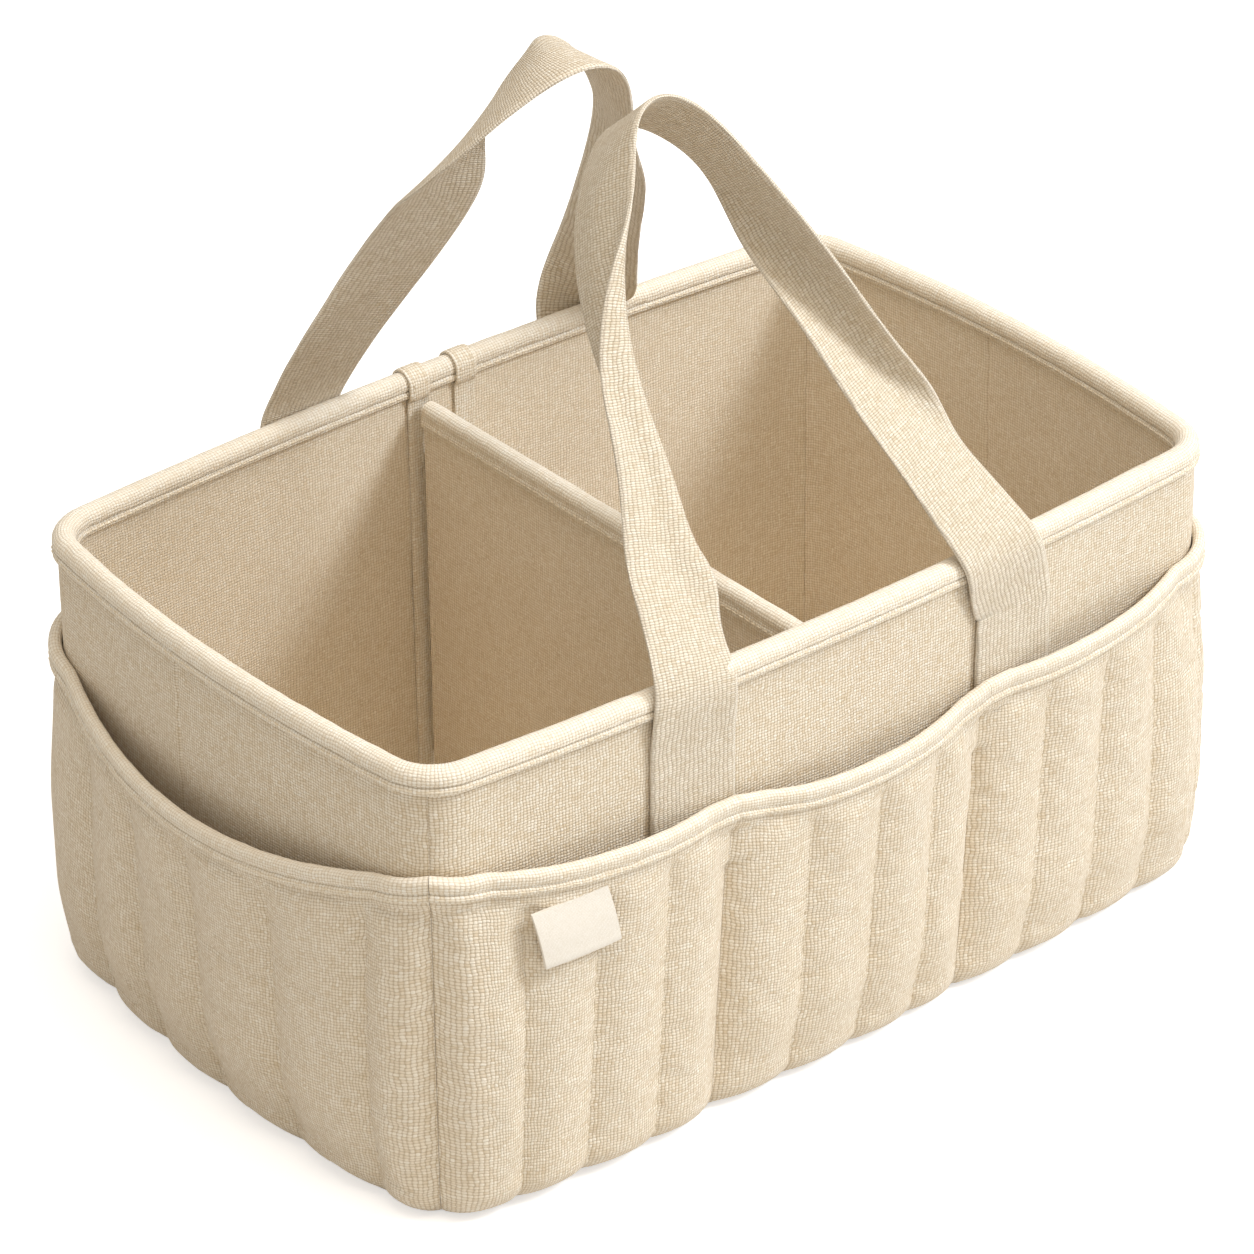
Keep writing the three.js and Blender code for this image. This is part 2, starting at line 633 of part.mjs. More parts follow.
function addHandles() {
  const frontHandle = {
    alongAt: frontAt,
    feet: frontFeet,
    lean: radians(frontLean),
    rise: frontRise,
    acrossShares: [-1, -0.99, -0.91, -0.79, -0.71, -0.41, -0.02, 0.29, 0.48, 0.61, 0.75, 0.92, 0.96],
    riseShares: [0.29, 0.46, 0.66, 0.91, 1, 0.9, 0.71, 0.5, 0.3],
    turns: [13, 6, 86, 92, 89, 98, 80, 2, -12],
    lagShares: [0.56, 0.42],
  };
  const rearHandle = {
    alongAt: rearAt,
    feet: rearFeet,
    lean: radians(rearLean),
    rise: rearRise,
    acrossShares: [-1, -0.98, -0.89, -0.68, -0.51, -0.42, 0.04, 0.52, 0.78, 0.89, 0.97, 1, 1],
    riseShares: [0.3, 0.5, 0.69, 0.84, 1, 0.81, 0.63, 0.45, 0.25],
    turns: [0, 8, -4, 56, 57, 95, 70, 3, -15],
    lagShares: [-0.28, -0.35],
  };
  addPiece('front_handle_webbing', 'webbing', handleGeometry(frontHandle));
  addPiece('rear_handle_webbing', 'webbing', handleGeometry(rearHandle));
}

// Anchor strips inside the long walls. The two on the rear wall wrap over the rim.
function addAnchorStrips() {
  const stripInner = liningInner - seamGap - stripThickness;
  const face = liningInner - seamGap;
  const shortTop = rimBindingBottom - seamGap;
  const stripCentres = { divider: dividerX - stripWidth / 4, spare: dividerX + stripPitch };
  const half = stripWidth / 2;
  const stripAt = (middle) => stationsBetween(middle - half, middle + half);
  const short = band(stripInner, face, stripBottom, shortTop);
  const over = foldedSection(
    rimBindingInner,
    rimBindingOuter,
    rimHeight - bindingThickness,
    rimHeight - stripOverhang,
    stripThickness,
    bindingThickness,
    rimFoldSteps,
  );
  const bottomOfInnerLeg = over.findIndex(([d, z], i) => i > 0 && d < 0 && z === rimHeight - stripOverhang);
  const wrapped = [
    ...over.slice(0, bottomOfInnerLeg),
    [rimBindingInner - seamGap - stripThickness, rimBindingBottom - stripThickness],
    [stripInner, rimBindingBottom - stripThickness * 2],
    [stripInner, stripBottom],
    [face, stripBottom],
    [face, rimBindingBottom - stripThickness],
    [rimBindingInner - seamGap, rimBindingBottom - seamGap],
    ...over.slice(bottomOfInnerLeg + 2),
  ];
  Object.entries(stripCentres).forEach(([name, x]) => {
    addPiece(`rear_${name}_strip`, 'binding', sweep(stripAt(rearAt(x)), () => wrapped));
    addPiece(`front_${name}_strip`, 'binding', sweep(stripAt(frontAt(x)), () => short));
  });
}

// Divider: a thin board between two fabric skins, a binding over its top, and hook tape on its ends.
function addDivider() {
  const bottom = floorTop + seamGap;
  // The divider is as long as fits between the rim's folds, so it lifts out past the strip over the rear one.
  const rimFoldInner = rimBindingInner - seamGap - stripThickness - seamGap;
  const tapeFace = place(rearAt(dividerX - stripWidth), rimFoldInner, bottom).y;
  const dividerHalfSpan = tapeFace - hookTapeThickness - seamGap;
  const slab = (inner, outer, halfSpan, low, high) => {
    const geometry = new THREE.BoxGeometry(outer - inner, halfSpan * 2, high - low);
    return geometry.translate(dividerX + (inner + outer) / 2, 0, (low + high) / 2);
  };
  const boardHalf = dividerBoardThickness / 2;
  const skinInner = boardHalf + seamGap;
  const skinOuter = skinInner + dividerSkinThickness;
  const edgeTop = dividerTop - dividerFoldRise - bindingThickness - seamGap;
  addPiece('divider_board', 'board', slab(-boardHalf, boardHalf, dividerHalfSpan, bottom, edgeTop));
  addPiece('divider_right_skin', 'lining', slab(skinInner, skinOuter, dividerHalfSpan, bottom, edgeTop));
  addPiece('divider_left_skin', 'lining', slab(-skinOuter, -skinInner, dividerHalfSpan, bottom, edgeTop));
  const fold = foldedSection(
    -skinOuter,
    skinOuter,
    edgeTop,
    dividerTop - dividerBindingHeight,
    bindingThickness,
    dividerFoldRise,
    smallFoldSteps,
  );
  const shape = new THREE.Shape(fold.map(([x, z]) => new THREE.Vector2(x, z)));
  const binding = new THREE.ExtrudeGeometry(shape, { depth: dividerHalfSpan * 2, bevelEnabled: false });
  binding.rotateX(quarterTurn);
  addPiece('divider_binding', 'binding', binding.translate(dividerX, dividerHalfSpan, 0));
  const tapeMiddle = dividerHalfSpan + seamGap + hookTapeThickness / 2;
  const tapeHigh = dividerTop - dividerBindingHeight - hookTapeInset;
  const tapeLow = bottom + hookTapeInset;
  ['front', 'rear'].forEach((side, i) => {
    const tape = new THREE.BoxGeometry(skinOuter * 2, hookTapeThickness, tapeHigh - tapeLow);
    tape.translate(dividerX, tapeMiddle * (2 * i - 1), (tapeLow + tapeHigh) / 2);
    addPiece(`divider_${side}_hook_tape`, 'tape', tape);
  });
}

// A plain folded tab hangs below the binding of the front left pocket, a little away from it at its foot.
function addTab() {
  const inner = coverOuter + pocketGape + quiltCrown + seamGap + sidePocketFlare;
  const top = pocketTopAtDivision - pocketBindingHeight;
  const section = [
    [inner, top],
    [inner + tabStandOff, top - tabDrop],
    [inner + tabStandOff + tabThickness, top - tabDrop],
    [inner + tabThickness, top],
  ];
  const middle = frontAt(leftDivision - tabFromDivision);
  const stations = [middle - tabWidth / 2, middle, middle + tabWidth / 2];
  addPiece('label_tab', 'tab', sweep(stations, () => section));
}

addBase();
addWalls();
addPockets();
addFeet();
addHandles();
addAnchorStrips();
addDivider();
addTab();

export default caddy;
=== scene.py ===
import math

import bmesh
import bpy
import numpy as np
from mathutils import Matrix, Vector


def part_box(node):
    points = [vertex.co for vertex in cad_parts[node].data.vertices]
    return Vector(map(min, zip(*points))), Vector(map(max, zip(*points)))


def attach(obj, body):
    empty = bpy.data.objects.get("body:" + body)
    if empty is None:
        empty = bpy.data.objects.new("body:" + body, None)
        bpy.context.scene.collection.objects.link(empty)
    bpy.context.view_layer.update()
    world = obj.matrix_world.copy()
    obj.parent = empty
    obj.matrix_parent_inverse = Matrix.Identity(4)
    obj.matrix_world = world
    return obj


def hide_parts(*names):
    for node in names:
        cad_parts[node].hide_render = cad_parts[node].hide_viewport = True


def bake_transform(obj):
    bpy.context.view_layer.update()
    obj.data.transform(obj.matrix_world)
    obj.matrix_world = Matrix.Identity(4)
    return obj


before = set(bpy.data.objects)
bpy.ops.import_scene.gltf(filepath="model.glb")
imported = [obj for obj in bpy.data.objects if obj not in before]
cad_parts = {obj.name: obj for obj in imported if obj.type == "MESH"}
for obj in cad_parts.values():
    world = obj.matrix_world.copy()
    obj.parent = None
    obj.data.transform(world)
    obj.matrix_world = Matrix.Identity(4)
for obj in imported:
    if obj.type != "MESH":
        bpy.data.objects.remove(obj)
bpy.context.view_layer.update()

# Boards
# Five stiff sheets of off-white plastic board hold the caddy in shape: one in each wall and one in the base.
# They are cut with plain edges and slipped between the cover and the lining before the rim is bound.


def wire(tree, kind, inputs=None, **settings):
    """Adds a node to a tree, sets it up and connects or fills its inputs."""
    made = tree.nodes.new(kind)
    for name, value in settings.items():
        setattr(made, name, value)
    for key, value in (inputs or {}).items():
        if isinstance(value, bpy.types.NodeSocket):
            tree.links.new(value, made.inputs[key])
        else:
            made.inputs[key].default_value = value
    return made


def linear(red, green, blue):
    """A colour as seen on screen, from 0 to 255, as the linear colour that a shader takes."""
    shares = [channel / 255 for channel in (red, green, blue)]
    return (*[c / 12.92 if c < 0.04045 else ((c + 0.055) / 1.055) ** 2.4 for c in shares], 1.0)


def new_finish(name):
    """An empty material, its node tree and its shader."""
    finish = bpy.data.materials.new(name)
    finish.use_nodes = True
    tree = finish.node_tree
    return finish, tree, tree.nodes["Principled BSDF"]


def noise(tree, place, scale, detail):
    """Soft irregular values over a place, as a node's outputs."""
    return wire(tree, "ShaderNodeTexNoise", {"Vector": place, "Scale": scale, "Detail": detail}).outputs


def mixed(tree, share, low, high):
    """A colour between two, by a share."""
    return wire(tree, "ShaderNodeMix", {0: share, 6: low, 7: high}, data_type="RGBA").outputs[2]


def finish_with(tree, shader, colour, height, strength, depth, **levels):
    """Gives a finish its colour, its raised surface and its plain levels, such as its roughness."""
    bump = wire(tree, "ShaderNodeBump", {"Height": height, "Strength": strength, "Distance": depth})
    tree.links.new(colour, shader.inputs["Base Color"])
    tree.links.new(bump.outputs["Normal"], shader.inputs["Normal"])
    for label, level in levels.items():
        shader.inputs[label.replace("_", " ")].default_value = level


board_finish, tree, shader = new_finish("Stiffener board")
board_place = wire(tree, "ShaderNodeTexCoord").outputs["Object"]
board_mottle = noise(tree, board_place, 45.0, 4.0)["Fac"]
board_colour = mixed(tree, board_mottle, linear(206, 201, 190), linear(222, 218, 209))
board_grain = noise(tree, board_place, 900.0, 2.0)["Fac"]
finish_with(tree, shader, board_colour, board_grain, 0.3, 0.0002, Roughness=0.55)
for side in ("front_wall", "right_wall", "rear_wall", "left_wall", "base", "divider"):
    board = f"{side}_board"
    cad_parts[board].data.materials.clear()
    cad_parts[board].data.materials.append(board_finish)

# Bottom panel
# A flat panel of the same canvas closes the caddy below. It is sewn to the pocket hems all round its edge,
# so it dips a little there and lies flat on the table in between.

MM = 0.001
HALF_LENGTH = 174.5
HALF_WIDTH = 107.0
CORNER_RADIUS = 18.0
LONG_SIDE_BOW = 6.6
END_BOW = 6.4
RIM_HEIGHT = 178.0


def outline_arcs():
    """The walls' outline from above, counter-clockwise from the middle of the front, as tangent arcs."""
    corner_x, corner_y = HALF_LENGTH - CORNER_RADIUS, HALF_WIDTH - CORNER_RADIUS
    long_depth = (corner_x**2 - LONG_SIDE_BOW**2) / (2 * LONG_SIDE_BOW)
    end_depth = (corner_y**2 - END_BOW**2) / (2 * END_BOW)
    long_radius, end_radius = long_depth + LONG_SIDE_BOW + CORNER_RADIUS, end_depth + END_BOW + CORNER_RADIUS
    long_angle, end_angle = math.atan2(corner_x, long_depth), math.atan2(corner_y, end_depth)
    front_y, end_x = long_depth - corner_y, corner_x - end_depth
    quarter = math.pi / 2
    turns = [
        (0, front_y, long_radius, -quarter, -quarter + long_angle),
        (corner_x, -corner_y, CORNER_RADIUS, -quarter + long_angle, -end_angle),
        (end_x, 0, end_radius, -end_angle, end_angle),
        (corner_x, corner_y, CORNER_RADIUS, end_angle, quarter - long_angle),
        (0, -front_y, long_radius, quarter - long_angle, quarter + long_angle),
        (-corner_x, corner_y, CORNER_RADIUS, quarter + long_angle, math.pi - end_angle),
        (-end_x, 0, end_radius, math.pi - end_angle, math.pi + end_angle),
        (-corner_x, -corner_y, CORNER_RADIUS, math.pi + end_angle, 3 * quarter - long_angle),
        (0, front_y, long_radius, 3 * quarter - long_angle, 3 * quarter),
    ]
    rows, distance = [], 0.0
    for x, y, radius, begin, finish in turns:
        rows.append((x, y, radius, begin, distance, distance + radius * (finish - begin)))
        distance = rows[-1][5]
    return np.array(rows)


ARCS = outline_arcs()
OUTLINE = ARCS[-1, 5]
FRONT_RIGHT_CORNER, RIGHT_SIDE, REAR_RIGHT_CORNER, REAR_SIDE = ARCS[1:5, 4:6]
REAR_LEFT_CORNER, LEFT_SIDE, NEAR_CORNER = ARCS[5:8, 4:6]


def grid_of(x, y, z):
    """Points from their coordinates, which may be single numbers or grids that fit each other."""
    return np.stack(np.broadcast_arrays(x, y, z), -1)


def running(steps):
    """How far each point of a line is from its first, given the steps between them."""
    return np.concatenate([[0], np.cumsum(steps)])


def wall_point(along, offset, height):
    """A point on a wall in mm: its distance along the outline, its offset outwards and its height."""
    along, offset, height = np.broadcast_arrays(np.asarray(along, float), offset, height)
    place = np.mod(along, OUTLINE)
    arc = ARCS[np.clip(np.searchsorted(ARCS[:, 5], place), 0, len(ARCS) - 1)]
    angle = arc[..., 3] + (place - arc[..., 4]) / arc[..., 2]
    reach = arc[..., 2] + offset
    return grid_of(arc[..., 0] + reach * np.cos(angle), arc[..., 1] + reach * np.sin(angle), height)


def front_at(x):
    """The distance along the outline at which the front wall passes x."""
    return ARCS[0, 2] * math.asin(x / ARCS[0, 2])


def rear_at(x):
    return REAR_SIDE.mean() - front_at(x)


def end_at(side, y):
    """The distance along the outline at which an end wall passes y."""
    turn = ARCS[2, 2] * math.asin(y / ARCS[2, 2])
    return side.mean() + (turn if side is RIGHT_SIDE else -turn)


def smooth(value, low, high):
    """Rises smoothly from 0 at low to 1 at high."""
    share = np.clip((value - low) / (high - low), 0, 1)
    return share * share * (3 - 2 * share)


def unevenness(points, wavelength, seed):
    """Soft, repeatable bumps over points in mm, between about -1 and 1."""
    draw = np.random.default_rng(seed)
    directions = draw.normal(size=(14, 3))
    directions /= np.linalg.norm(directions, axis=1, keepdims=True)
    lengths = wavelength * draw.uniform(0.6, 1.8, (14, 1))
    phases = draw.uniform(0, 2 * math.pi, 14)
    return np.sin(points @ (directions * 2 * math.pi / lengths).T + phases).sum(-1) / 5.3


def added(name, data):
    """A new object in the scene, made of a mesh, a lamp or a camera."""
    made = bpy.data.objects.new(name, data)
    bpy.context.collection.objects.link(made)
    return made


CLOTH_EDGE = 1.5


def sewn_sheet(name, outer, inner, along, across, finish, loop=False, rub_and_highlight=None, crease=55):
    """A closed sheet of cloth from the points of its two faces in mm, with a UV map in metres of cloth.

    Both grids run along the cloth first and across it second. The paleness mask, from 0 to 1, is where the
    cloth is painted paler: partly rubbed wear and partly painted highlight.
    """
    count, width = outer.shape[:2]
    index = np.arange(count * width).reshape(count, width)
    here = np.arange(count if loop else count - 1)
    after = (here + 1) % count
    under = count * width
    quads, corners = [], []

    def add(rows, places):
        quads.append(np.stack(rows, -1).reshape(-1, 4))
        spots = [np.stack(np.broadcast_arrays(u, v), -1) for u, v in places]
        corners.append(np.stack(spots, -2).reshape(-1, 4, 2))

    u0, u1 = along[here][:, None], along[here + 1][:, None]
    v0, v1 = across[None, :-1], across[None, 1:]
    a, b, c, d = index[here][:, :-1], index[after][:, :-1], index[after][:, 1:], index[here][:, 1:]
    add((a, b, c, d), ((u0, v0), (u1, v0), (u1, v1), (u0, v1)))
    add((d + under, c + under, b + under, a + under), ((u0, v1), (u1, v1), (u1, v0), (u0, v0)))
    for edge, turn in ((0, 1), (width - 1, -1)):
        a, b = index[here, edge], index[after, edge]
        low, high = across[edge], across[edge] - turn * CLOTH_EDGE
        rows = (a, a + under, b + under, b)[::turn]
        places = ((u0[:, 0], low), (u0[:, 0], high), (u1[:, 0], high), (u1[:, 0], low))[::turn]
        add(rows, places)
    if not loop:
        for edge, turn in ((0, -1), (count - 1, 1)):
            a, b = index[edge, :-1], index[edge, 1:]
            low, high = along[edge], along[edge] + turn * CLOTH_EDGE
            rows = (a, a + under, b + under, b)[::turn]
            places = ((low, v0[0]), (high, v0[0]), (high, v1[0]), (low, v1[0]))[::turn]
            add(rows, places)
    points = np.concatenate([outer.reshape(-1, 3), inner.reshape(-1, 3)]) * MM
    mesh = bpy.data.meshes.new(name)
    mesh.from_pydata(points.tolist(), [], np.concatenate(quads).tolist())
    layer = mesh.uv_layers.new(name="Cloth")
    layer.uv.foreach_set("vector", (np.concatenate(corners) * MM).astype(np.float32).ravel())
    # The paleness mask paints edges and tops paler, as rubbed wear and painted highlight together.
    wear_and_highlight = mesh.attributes.new("rub_and_highlight", "FLOAT", "POINT")
    share = np.zeros((count, width)) if rub_and_highlight is None else np.broadcast_to(rub_and_highlight, (count, width))
    wear_and_highlight.data.foreach_set("value", np.concatenate([share.ravel(), share.ravel()]).astype(np.float32))
    shell = bmesh.new()
    shell.from_mesh(mesh)
    bmesh.ops.recalc_face_normals(shell, faces=shell.faces)
    shell.to_mesh(mesh)
    shell.free()
    mesh.shade_smooth()
    mesh.set_sharp_from_angle(angle=math.radians(crease))
    mesh.materials.append(finish)
    return added(name, mesh)


def sew_on(piece, body, slot, *stands_for):
    """A finished piece rides on its body and takes the place of the plain solids."""
    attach(piece, body)
    if stands_for:
        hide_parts(*stands_for)
    return piece


def new_effect(name, sockets):
    """An empty shader node group with the named sockets."""
    effect = bpy.data.node_groups.new(name, "ShaderNodeTree")
    for label, way, kind, value in sockets:
        socket = effect.interface.new_socket(name=label, in_out=way, socket_type=kind)
        if value is not None:
            socket.default_value = value
    return effect, effect.nodes.new("NodeGroupInput"), effect.nodes.new("NodeGroupOutput")


def sums(effect, operation, *values):
    """One step of arithmetic in a node tree."""
    return wire(effect, "ShaderNodeMath", dict(enumerate(values)), operation=operation).outputs[0]


# The weave passes each thread over one and under the next. Threads are thick and thin along their length.
weave, given, result = new_effect(
    "Plain weave",
    [
        ("Place", "INPUT", "NodeSocketVector", None),
        ("Warp pitch", "INPUT", "NodeSocketFloat", 0.0017),
        ("Weft pitch", "INPUT", "NodeSocketFloat", 0.0017),
        ("Wander", "INPUT", "NodeSocketFloat", 0.6),
        ("Height", "OUTPUT", "NodeSocketFloat", None),
        ("Tone", "OUTPUT", "NodeSocketFloat", None),
    ],
)
drift = noise(weave, given.outputs["Place"], 110.0, 3.0)["Color"]
drift_parts = wire(weave, "ShaderNodeSeparateColor", {0: drift}).outputs
place_parts = wire(weave, "ShaderNodeSeparateXYZ", {0: given.outputs["Place"]}).outputs
threads = []
for side, pitch in ((0, "Warp pitch"), (1, "Weft pitch")):
    bare = sums(weave, "DIVIDE", place_parts[side], given.outputs[pitch])
    shift = sums(weave, "MULTIPLY", sums(weave, "SUBTRACT", drift_parts[side], 0.5), given.outputs["Wander"])
    threads.append(sums(weave, "MULTIPLY_ADD", shift, 2.0, bare))
warp, weft = threads
warp_number, weft_number = sums(weave, "FLOOR", warp), sums(weave, "FLOOR", weft)
over = sums(weave, "FLOORED_MODULO", sums(weave, "ADD", warp_number, weft_number), 2.0)
warp_round = sums(weave, "ABSOLUTE", sums(weave, "SINE", sums(weave, "MULTIPLY", warp, math.pi)))
weft_round = sums(weave, "ABSOLUTE", sums(weave, "SINE", sums(weave, "MULTIPLY", weft, math.pi)))
slubs = []
for number, run, start in ((warp_number, weft, 0.0), (weft_number, warp, 37.0)):
    spot = wire(
        weave,
        "ShaderNodeCombineXYZ",
        {0: sums(weave, "MULTIPLY_ADD", number, 3.37, start), 1: sums(weave, "MULTIPLY", run, 0.21), 2: 0.0},
    )
    slub = noise(weave, spot.outputs[0], 1.0, 2.0)["Fac"]
    slub.node.inputs["Roughness"].default_value = 0.6
    slubs.append(sums(weave, "MULTIPLY_ADD", sums(weave, "SUBTRACT", slub, 0.5), 2.6, 0.5))
heights = []
for own, other, slub in ((warp_round, weft_round, slubs[0]), (weft_round, warp_round, slubs[1])):
    pressed = sums(weave, "MULTIPLY_ADD", other, 0.45, 0.5)
    rise = sums(weave, "MULTIPLY", sums(weave, "POWER", own, 0.7), pressed)
    full = sums(weave, "MULTIPLY", rise, sums(weave, "MULTIPLY_ADD", slub, 0.5, 0.75))
    heights.append(sums(weave, "MAXIMUM", full, sums(weave, "MULTIPLY", other, 0.3)))
height = wire(weave, "ShaderNodeMix", {0: over, 2: heights[0], 3: heights[1]}).outputs[0]
tone = wire(weave, "ShaderNodeMix", {0: over, 2: slubs[0], 3: slubs[1]}).outputs[0]
weave.links.new(height, result.inputs["Height"])
weave.links.new(tone, result.inputs["Tone"])

# Handling leaves faint broad clouds in the cloth. Its raised edges and tops are painted paler, partly as
# rubbed wear and partly as painted highlight where the lamps catch them.
clouds_wear_and_highlight, given, result = new_effect(
    "Clouded cloth with worn and highlit edges",
    [
        ("Colour", "INPUT", "NodeSocketColor", None),
        ("Place", "INPUT", "NodeSocketVector", None),
        ("Rub and highlight", "INPUT", "NodeSocketFloat", 0.0),
        ("Colour", "OUTPUT", "NodeSocketColor", None),
    ],
)
cloud = sums(clouds_wear_and_highlight, "MULTIPLY", noise(clouds_wear_and_highlight, given.outputs["Place"], 22.0, 3.0)["Fac"], 0.16)
clouded = mixed(clouds_wear_and_highlight, cloud, given.outputs["Colour"], linear(196, 174, 138))
# Painted highlight mixed with rubbed wear: the masked edges and tops are pushed towards near white.
fuzz = noise(clouds_wear_and_highlight, given.outputs["Place"], 320.0, 3.0)["Fac"]
rub_and_highlight_share = sums(clouds_wear_and_highlight, "MULTIPLY", sums(clouds_wear_and_highlight, "MULTIPLY", fuzz, given.outputs["Rub and highlight"]), 0.55)
rubbed_and_highlit = mixed(clouds_wear_and_highlight, rub_and_highlight_share, clouded, linear(250, 243, 230))
clouds_wear_and_highlight.links.new(rubbed_and_highlit, result.inputs["Colour"])


def cloth_finish(name, pale, deep, gap, pitches, relief, wander=0.9):
    """A woven finish: the colours of its palest and deepest threads and of the gaps between them.

    pitches are the spacings of its warp and weft, and relief how far a thread stands up, all in mm.
    """
    finish, tree, shader = new_finish(name)
    place = wire(tree, "ShaderNodeUVMap", uv_map="Cloth").outputs[0]
    pattern = tree.nodes.new("ShaderNodeGroup")
    pattern.node_tree = weave
    tree.links.new(place, pattern.inputs["Place"])
    pattern.inputs["Warp pitch"].default_value = pitches[0] * MM
    pattern.inputs["Weft pitch"].default_value = pitches[1] * MM
    pattern.inputs["Wander"].default_value = wander
    thread = mixed(tree, pattern.outputs["Tone"], linear(*deep), linear(*pale))
    raised = wire(
        tree, "ShaderNodeMapRange", {"Value": pattern.outputs["Height"], "From Min": 0.1, "From Max": 0.7}
    )
    cloth = mixed(tree, raised.outputs[0], linear(*gap), thread)
    # The cloth colour takes the clouds and the paleness mask, which paints edges and tops paler as rubbed wear
    # and painted highlight together.
    wear_and_highlight = tree.nodes.new("ShaderNodeGroup")
    wear_and_highlight.node_tree = clouds_wear_and_highlight
    rub_and_highlight = wire(tree, "ShaderNodeAttribute", attribute_name="rub_and_highlight").outputs["Fac"]
    for label, source in (("Colour", cloth), ("Place", place), ("Rub and highlight", rub_and_highlight)):
        tree.links.new(source, wear_and_highlight.inputs[label])
    fibre = noise(tree, place, 2600.0, 2.0)["Fac"]
    height = sums(tree, "MULTIPLY_ADD", fibre, 0.22, pattern.outputs["Height"])
    wear_and_highlight_colour = wear_and_highlight.outputs["Colour"]
    finish_with(tree, shader, wear_and_highlight_colour, height, 0.9, relief * MM, Roughness=0.92, Sheen_Weight=0.12)
    shader.inputs["Specular IOR Level"].default_value = 0.2
    shader.inputs["Sheen Roughness"].default_value = 0.5
    return finish


def lay_flat(piece):
    """Takes the weave of a level panel from its points as seen from above."""
    layer = piece.data.uv_layers["Cloth"]
    for corner in piece.data.loops:
        layer.uv[corner.index].vector = piece.data.vertices[corner.vertex_index].co.xy


canvas = cloth_finish(
    "Beige canvas", (246, 237, 220), (226, 209, 182), (188, 166, 132), pitches=(1.25, 1.15), relief=0.32
)

BOTTOM_THICKNESS = 2.0
BOTTOM_INSET = 4.3
HEM_DIP = 0.5
panel_places = np.linspace(0, OUTLINE, 361)
panel_shares = np.array([0.002, 0.25, 0.5, 0.7, 0.85, 0.94, 0.985, 1.0])
panel_edge = wall_point(panel_places[:-1, None], -BOTTOM_INSET, 0.0)
panel_flat = panel_edge * panel_shares[None, ::-1, None]
panel_lift = HEM_DIP * smooth(panel_shares[::-1], 0.93, 1.0)
panel_under = panel_flat + grid_of(0, 0, panel_lift)
panel_over = panel_flat + np.array([0, 0, BOTTOM_THICKNESS])
bottom_panel = sewn_sheet(
    "bottom_canvas", panel_under, panel_over, panel_places, 100 * (1 - panel_shares[::-1]), canvas, loop=True
)
lay_flat(bottom_panel)
sew_on(bottom_panel, "caddy", "canvas", "bottom_panel")

# Outer cover
# Two L-shaped panels of beige canvas go round the outside of the walls and meet in a seam at two opposite
# corners. They are pulled over the boards, so they are almost flat, with a pressed fold down each end.

COVER_FACES = (1.3, 2.9)
COVER_FOOT = 9.5
WALL_TOP = 173.3
SEAM_GAP = 0.03
near_seam, far_seam = NEAR_CORNER.mean() - OUTLINE, REAR_RIGHT_CORNER.mean()
panel_limits = {"front_right": (near_seam, far_seam), "rear_left": (far_seam, near_seam + OUTLINE)}
RIGHT_FOLD_Y, LEFT_FOLD_Y = 11.0, 17.0
end_folds = (end_at(RIGHT_SIDE, RIGHT_FOLD_Y), end_at(LEFT_SIDE, LEFT_FOLD_Y))
PANEL_SPACING, PANEL_ROWS = 4.0, 34
BROAD_WAVE, FINE_WAVE = 0.35, 0.12
SEAM_DIP, FOLD_DIP = 0.4, 0.75


def wall_columns(begin, finish):
    """Places along a panel, closer together at its two ends and at the end walls' folds."""
    places = np.linspace(begin, finish, int((finish - begin) / PANEL_SPACING))
    extra = [begin + step for step in (0.4, 0.9, 1.6)] + [finish - step for step in (0.4, 0.9, 1.6)]
    for fold in end_folds:
        extra += [fold + step for step in (-2.2, -1.2, -0.6, 0.0, 0.6, 1.2, 2.2)]
    extra = [place for place in extra if begin < place < finish]
    return np.unique(np.concatenate([places, extra]))


def wall_panel(name, begin, finish, faces, low, seed, side, material):
    """One panel of a wall's cover, side 1, or lining, side -1."""
    columns = wall_columns(begin, finish)
    rows = np.linspace(low, WALL_TOP, PANEL_ROWS)
    spot = wall_point(columns[:, None], 0, rows[None, :])
    bumps = BROAD_WAVE * unevenness(spot, 60, seed) + FINE_WAVE * unevenness(spot, 19, seed + 1)
    turned_in = SEAM_DIP * np.exp(-np.minimum(columns - begin, finish - columns) / 0.8)
    for fold in end_folds:
        turned_in = turned_in + FOLD_DIP * np.exp(-(((columns - fold) / 0.7) ** 2))
    relief = (bumps - turned_in[:, None]) * side
    show, back = (faces[1], faces[0]) if side > 0 else faces
    outer = wall_point(columns[:, None], show + relief, rows[None, :])
    inner = wall_point(columns[:, None], back, rows[None, :] + 0 * relief)
    return sewn_sheet(name, outer, inner, columns, rows, material)


for seed, (side, (begin, finish)) in enumerate(panel_limits.items()):
    ends = (begin + SEAM_GAP, finish - SEAM_GAP)
    cover = wall_panel(f"cover_{side}", *ends, COVER_FACES, COVER_FOOT, 20 + seed, 1, canvas)
    sew_on(cover, "caddy", "canvas", f"outer_cover_{side}")

# Lining
# The inside is lined with a slightly finer, flatter cloth in two panels sewn at the same corners.
# A thin padded panel of the same cloth lies on the base board.

LINING_FACES = (-2.7, -1.3)
LINING_FOOT = 5.9
lining = cloth_finish(
    "Beige lining", (250, 240, 222), (237, 221, 195), (204, 184, 152), pitches=(1.2, 1.1), relief=0.24
)
for seed, (side, (begin, finish)) in enumerate(panel_limits.items()):
    ends = (begin + SEAM_GAP, finish - SEAM_GAP)
    inside = wall_panel(f"inside_{side}", *ends, LINING_FACES, LINING_FOOT, 40 + seed, -1, lining)
    sew_on(inside, "caddy", "lining", f"lining_{side}")

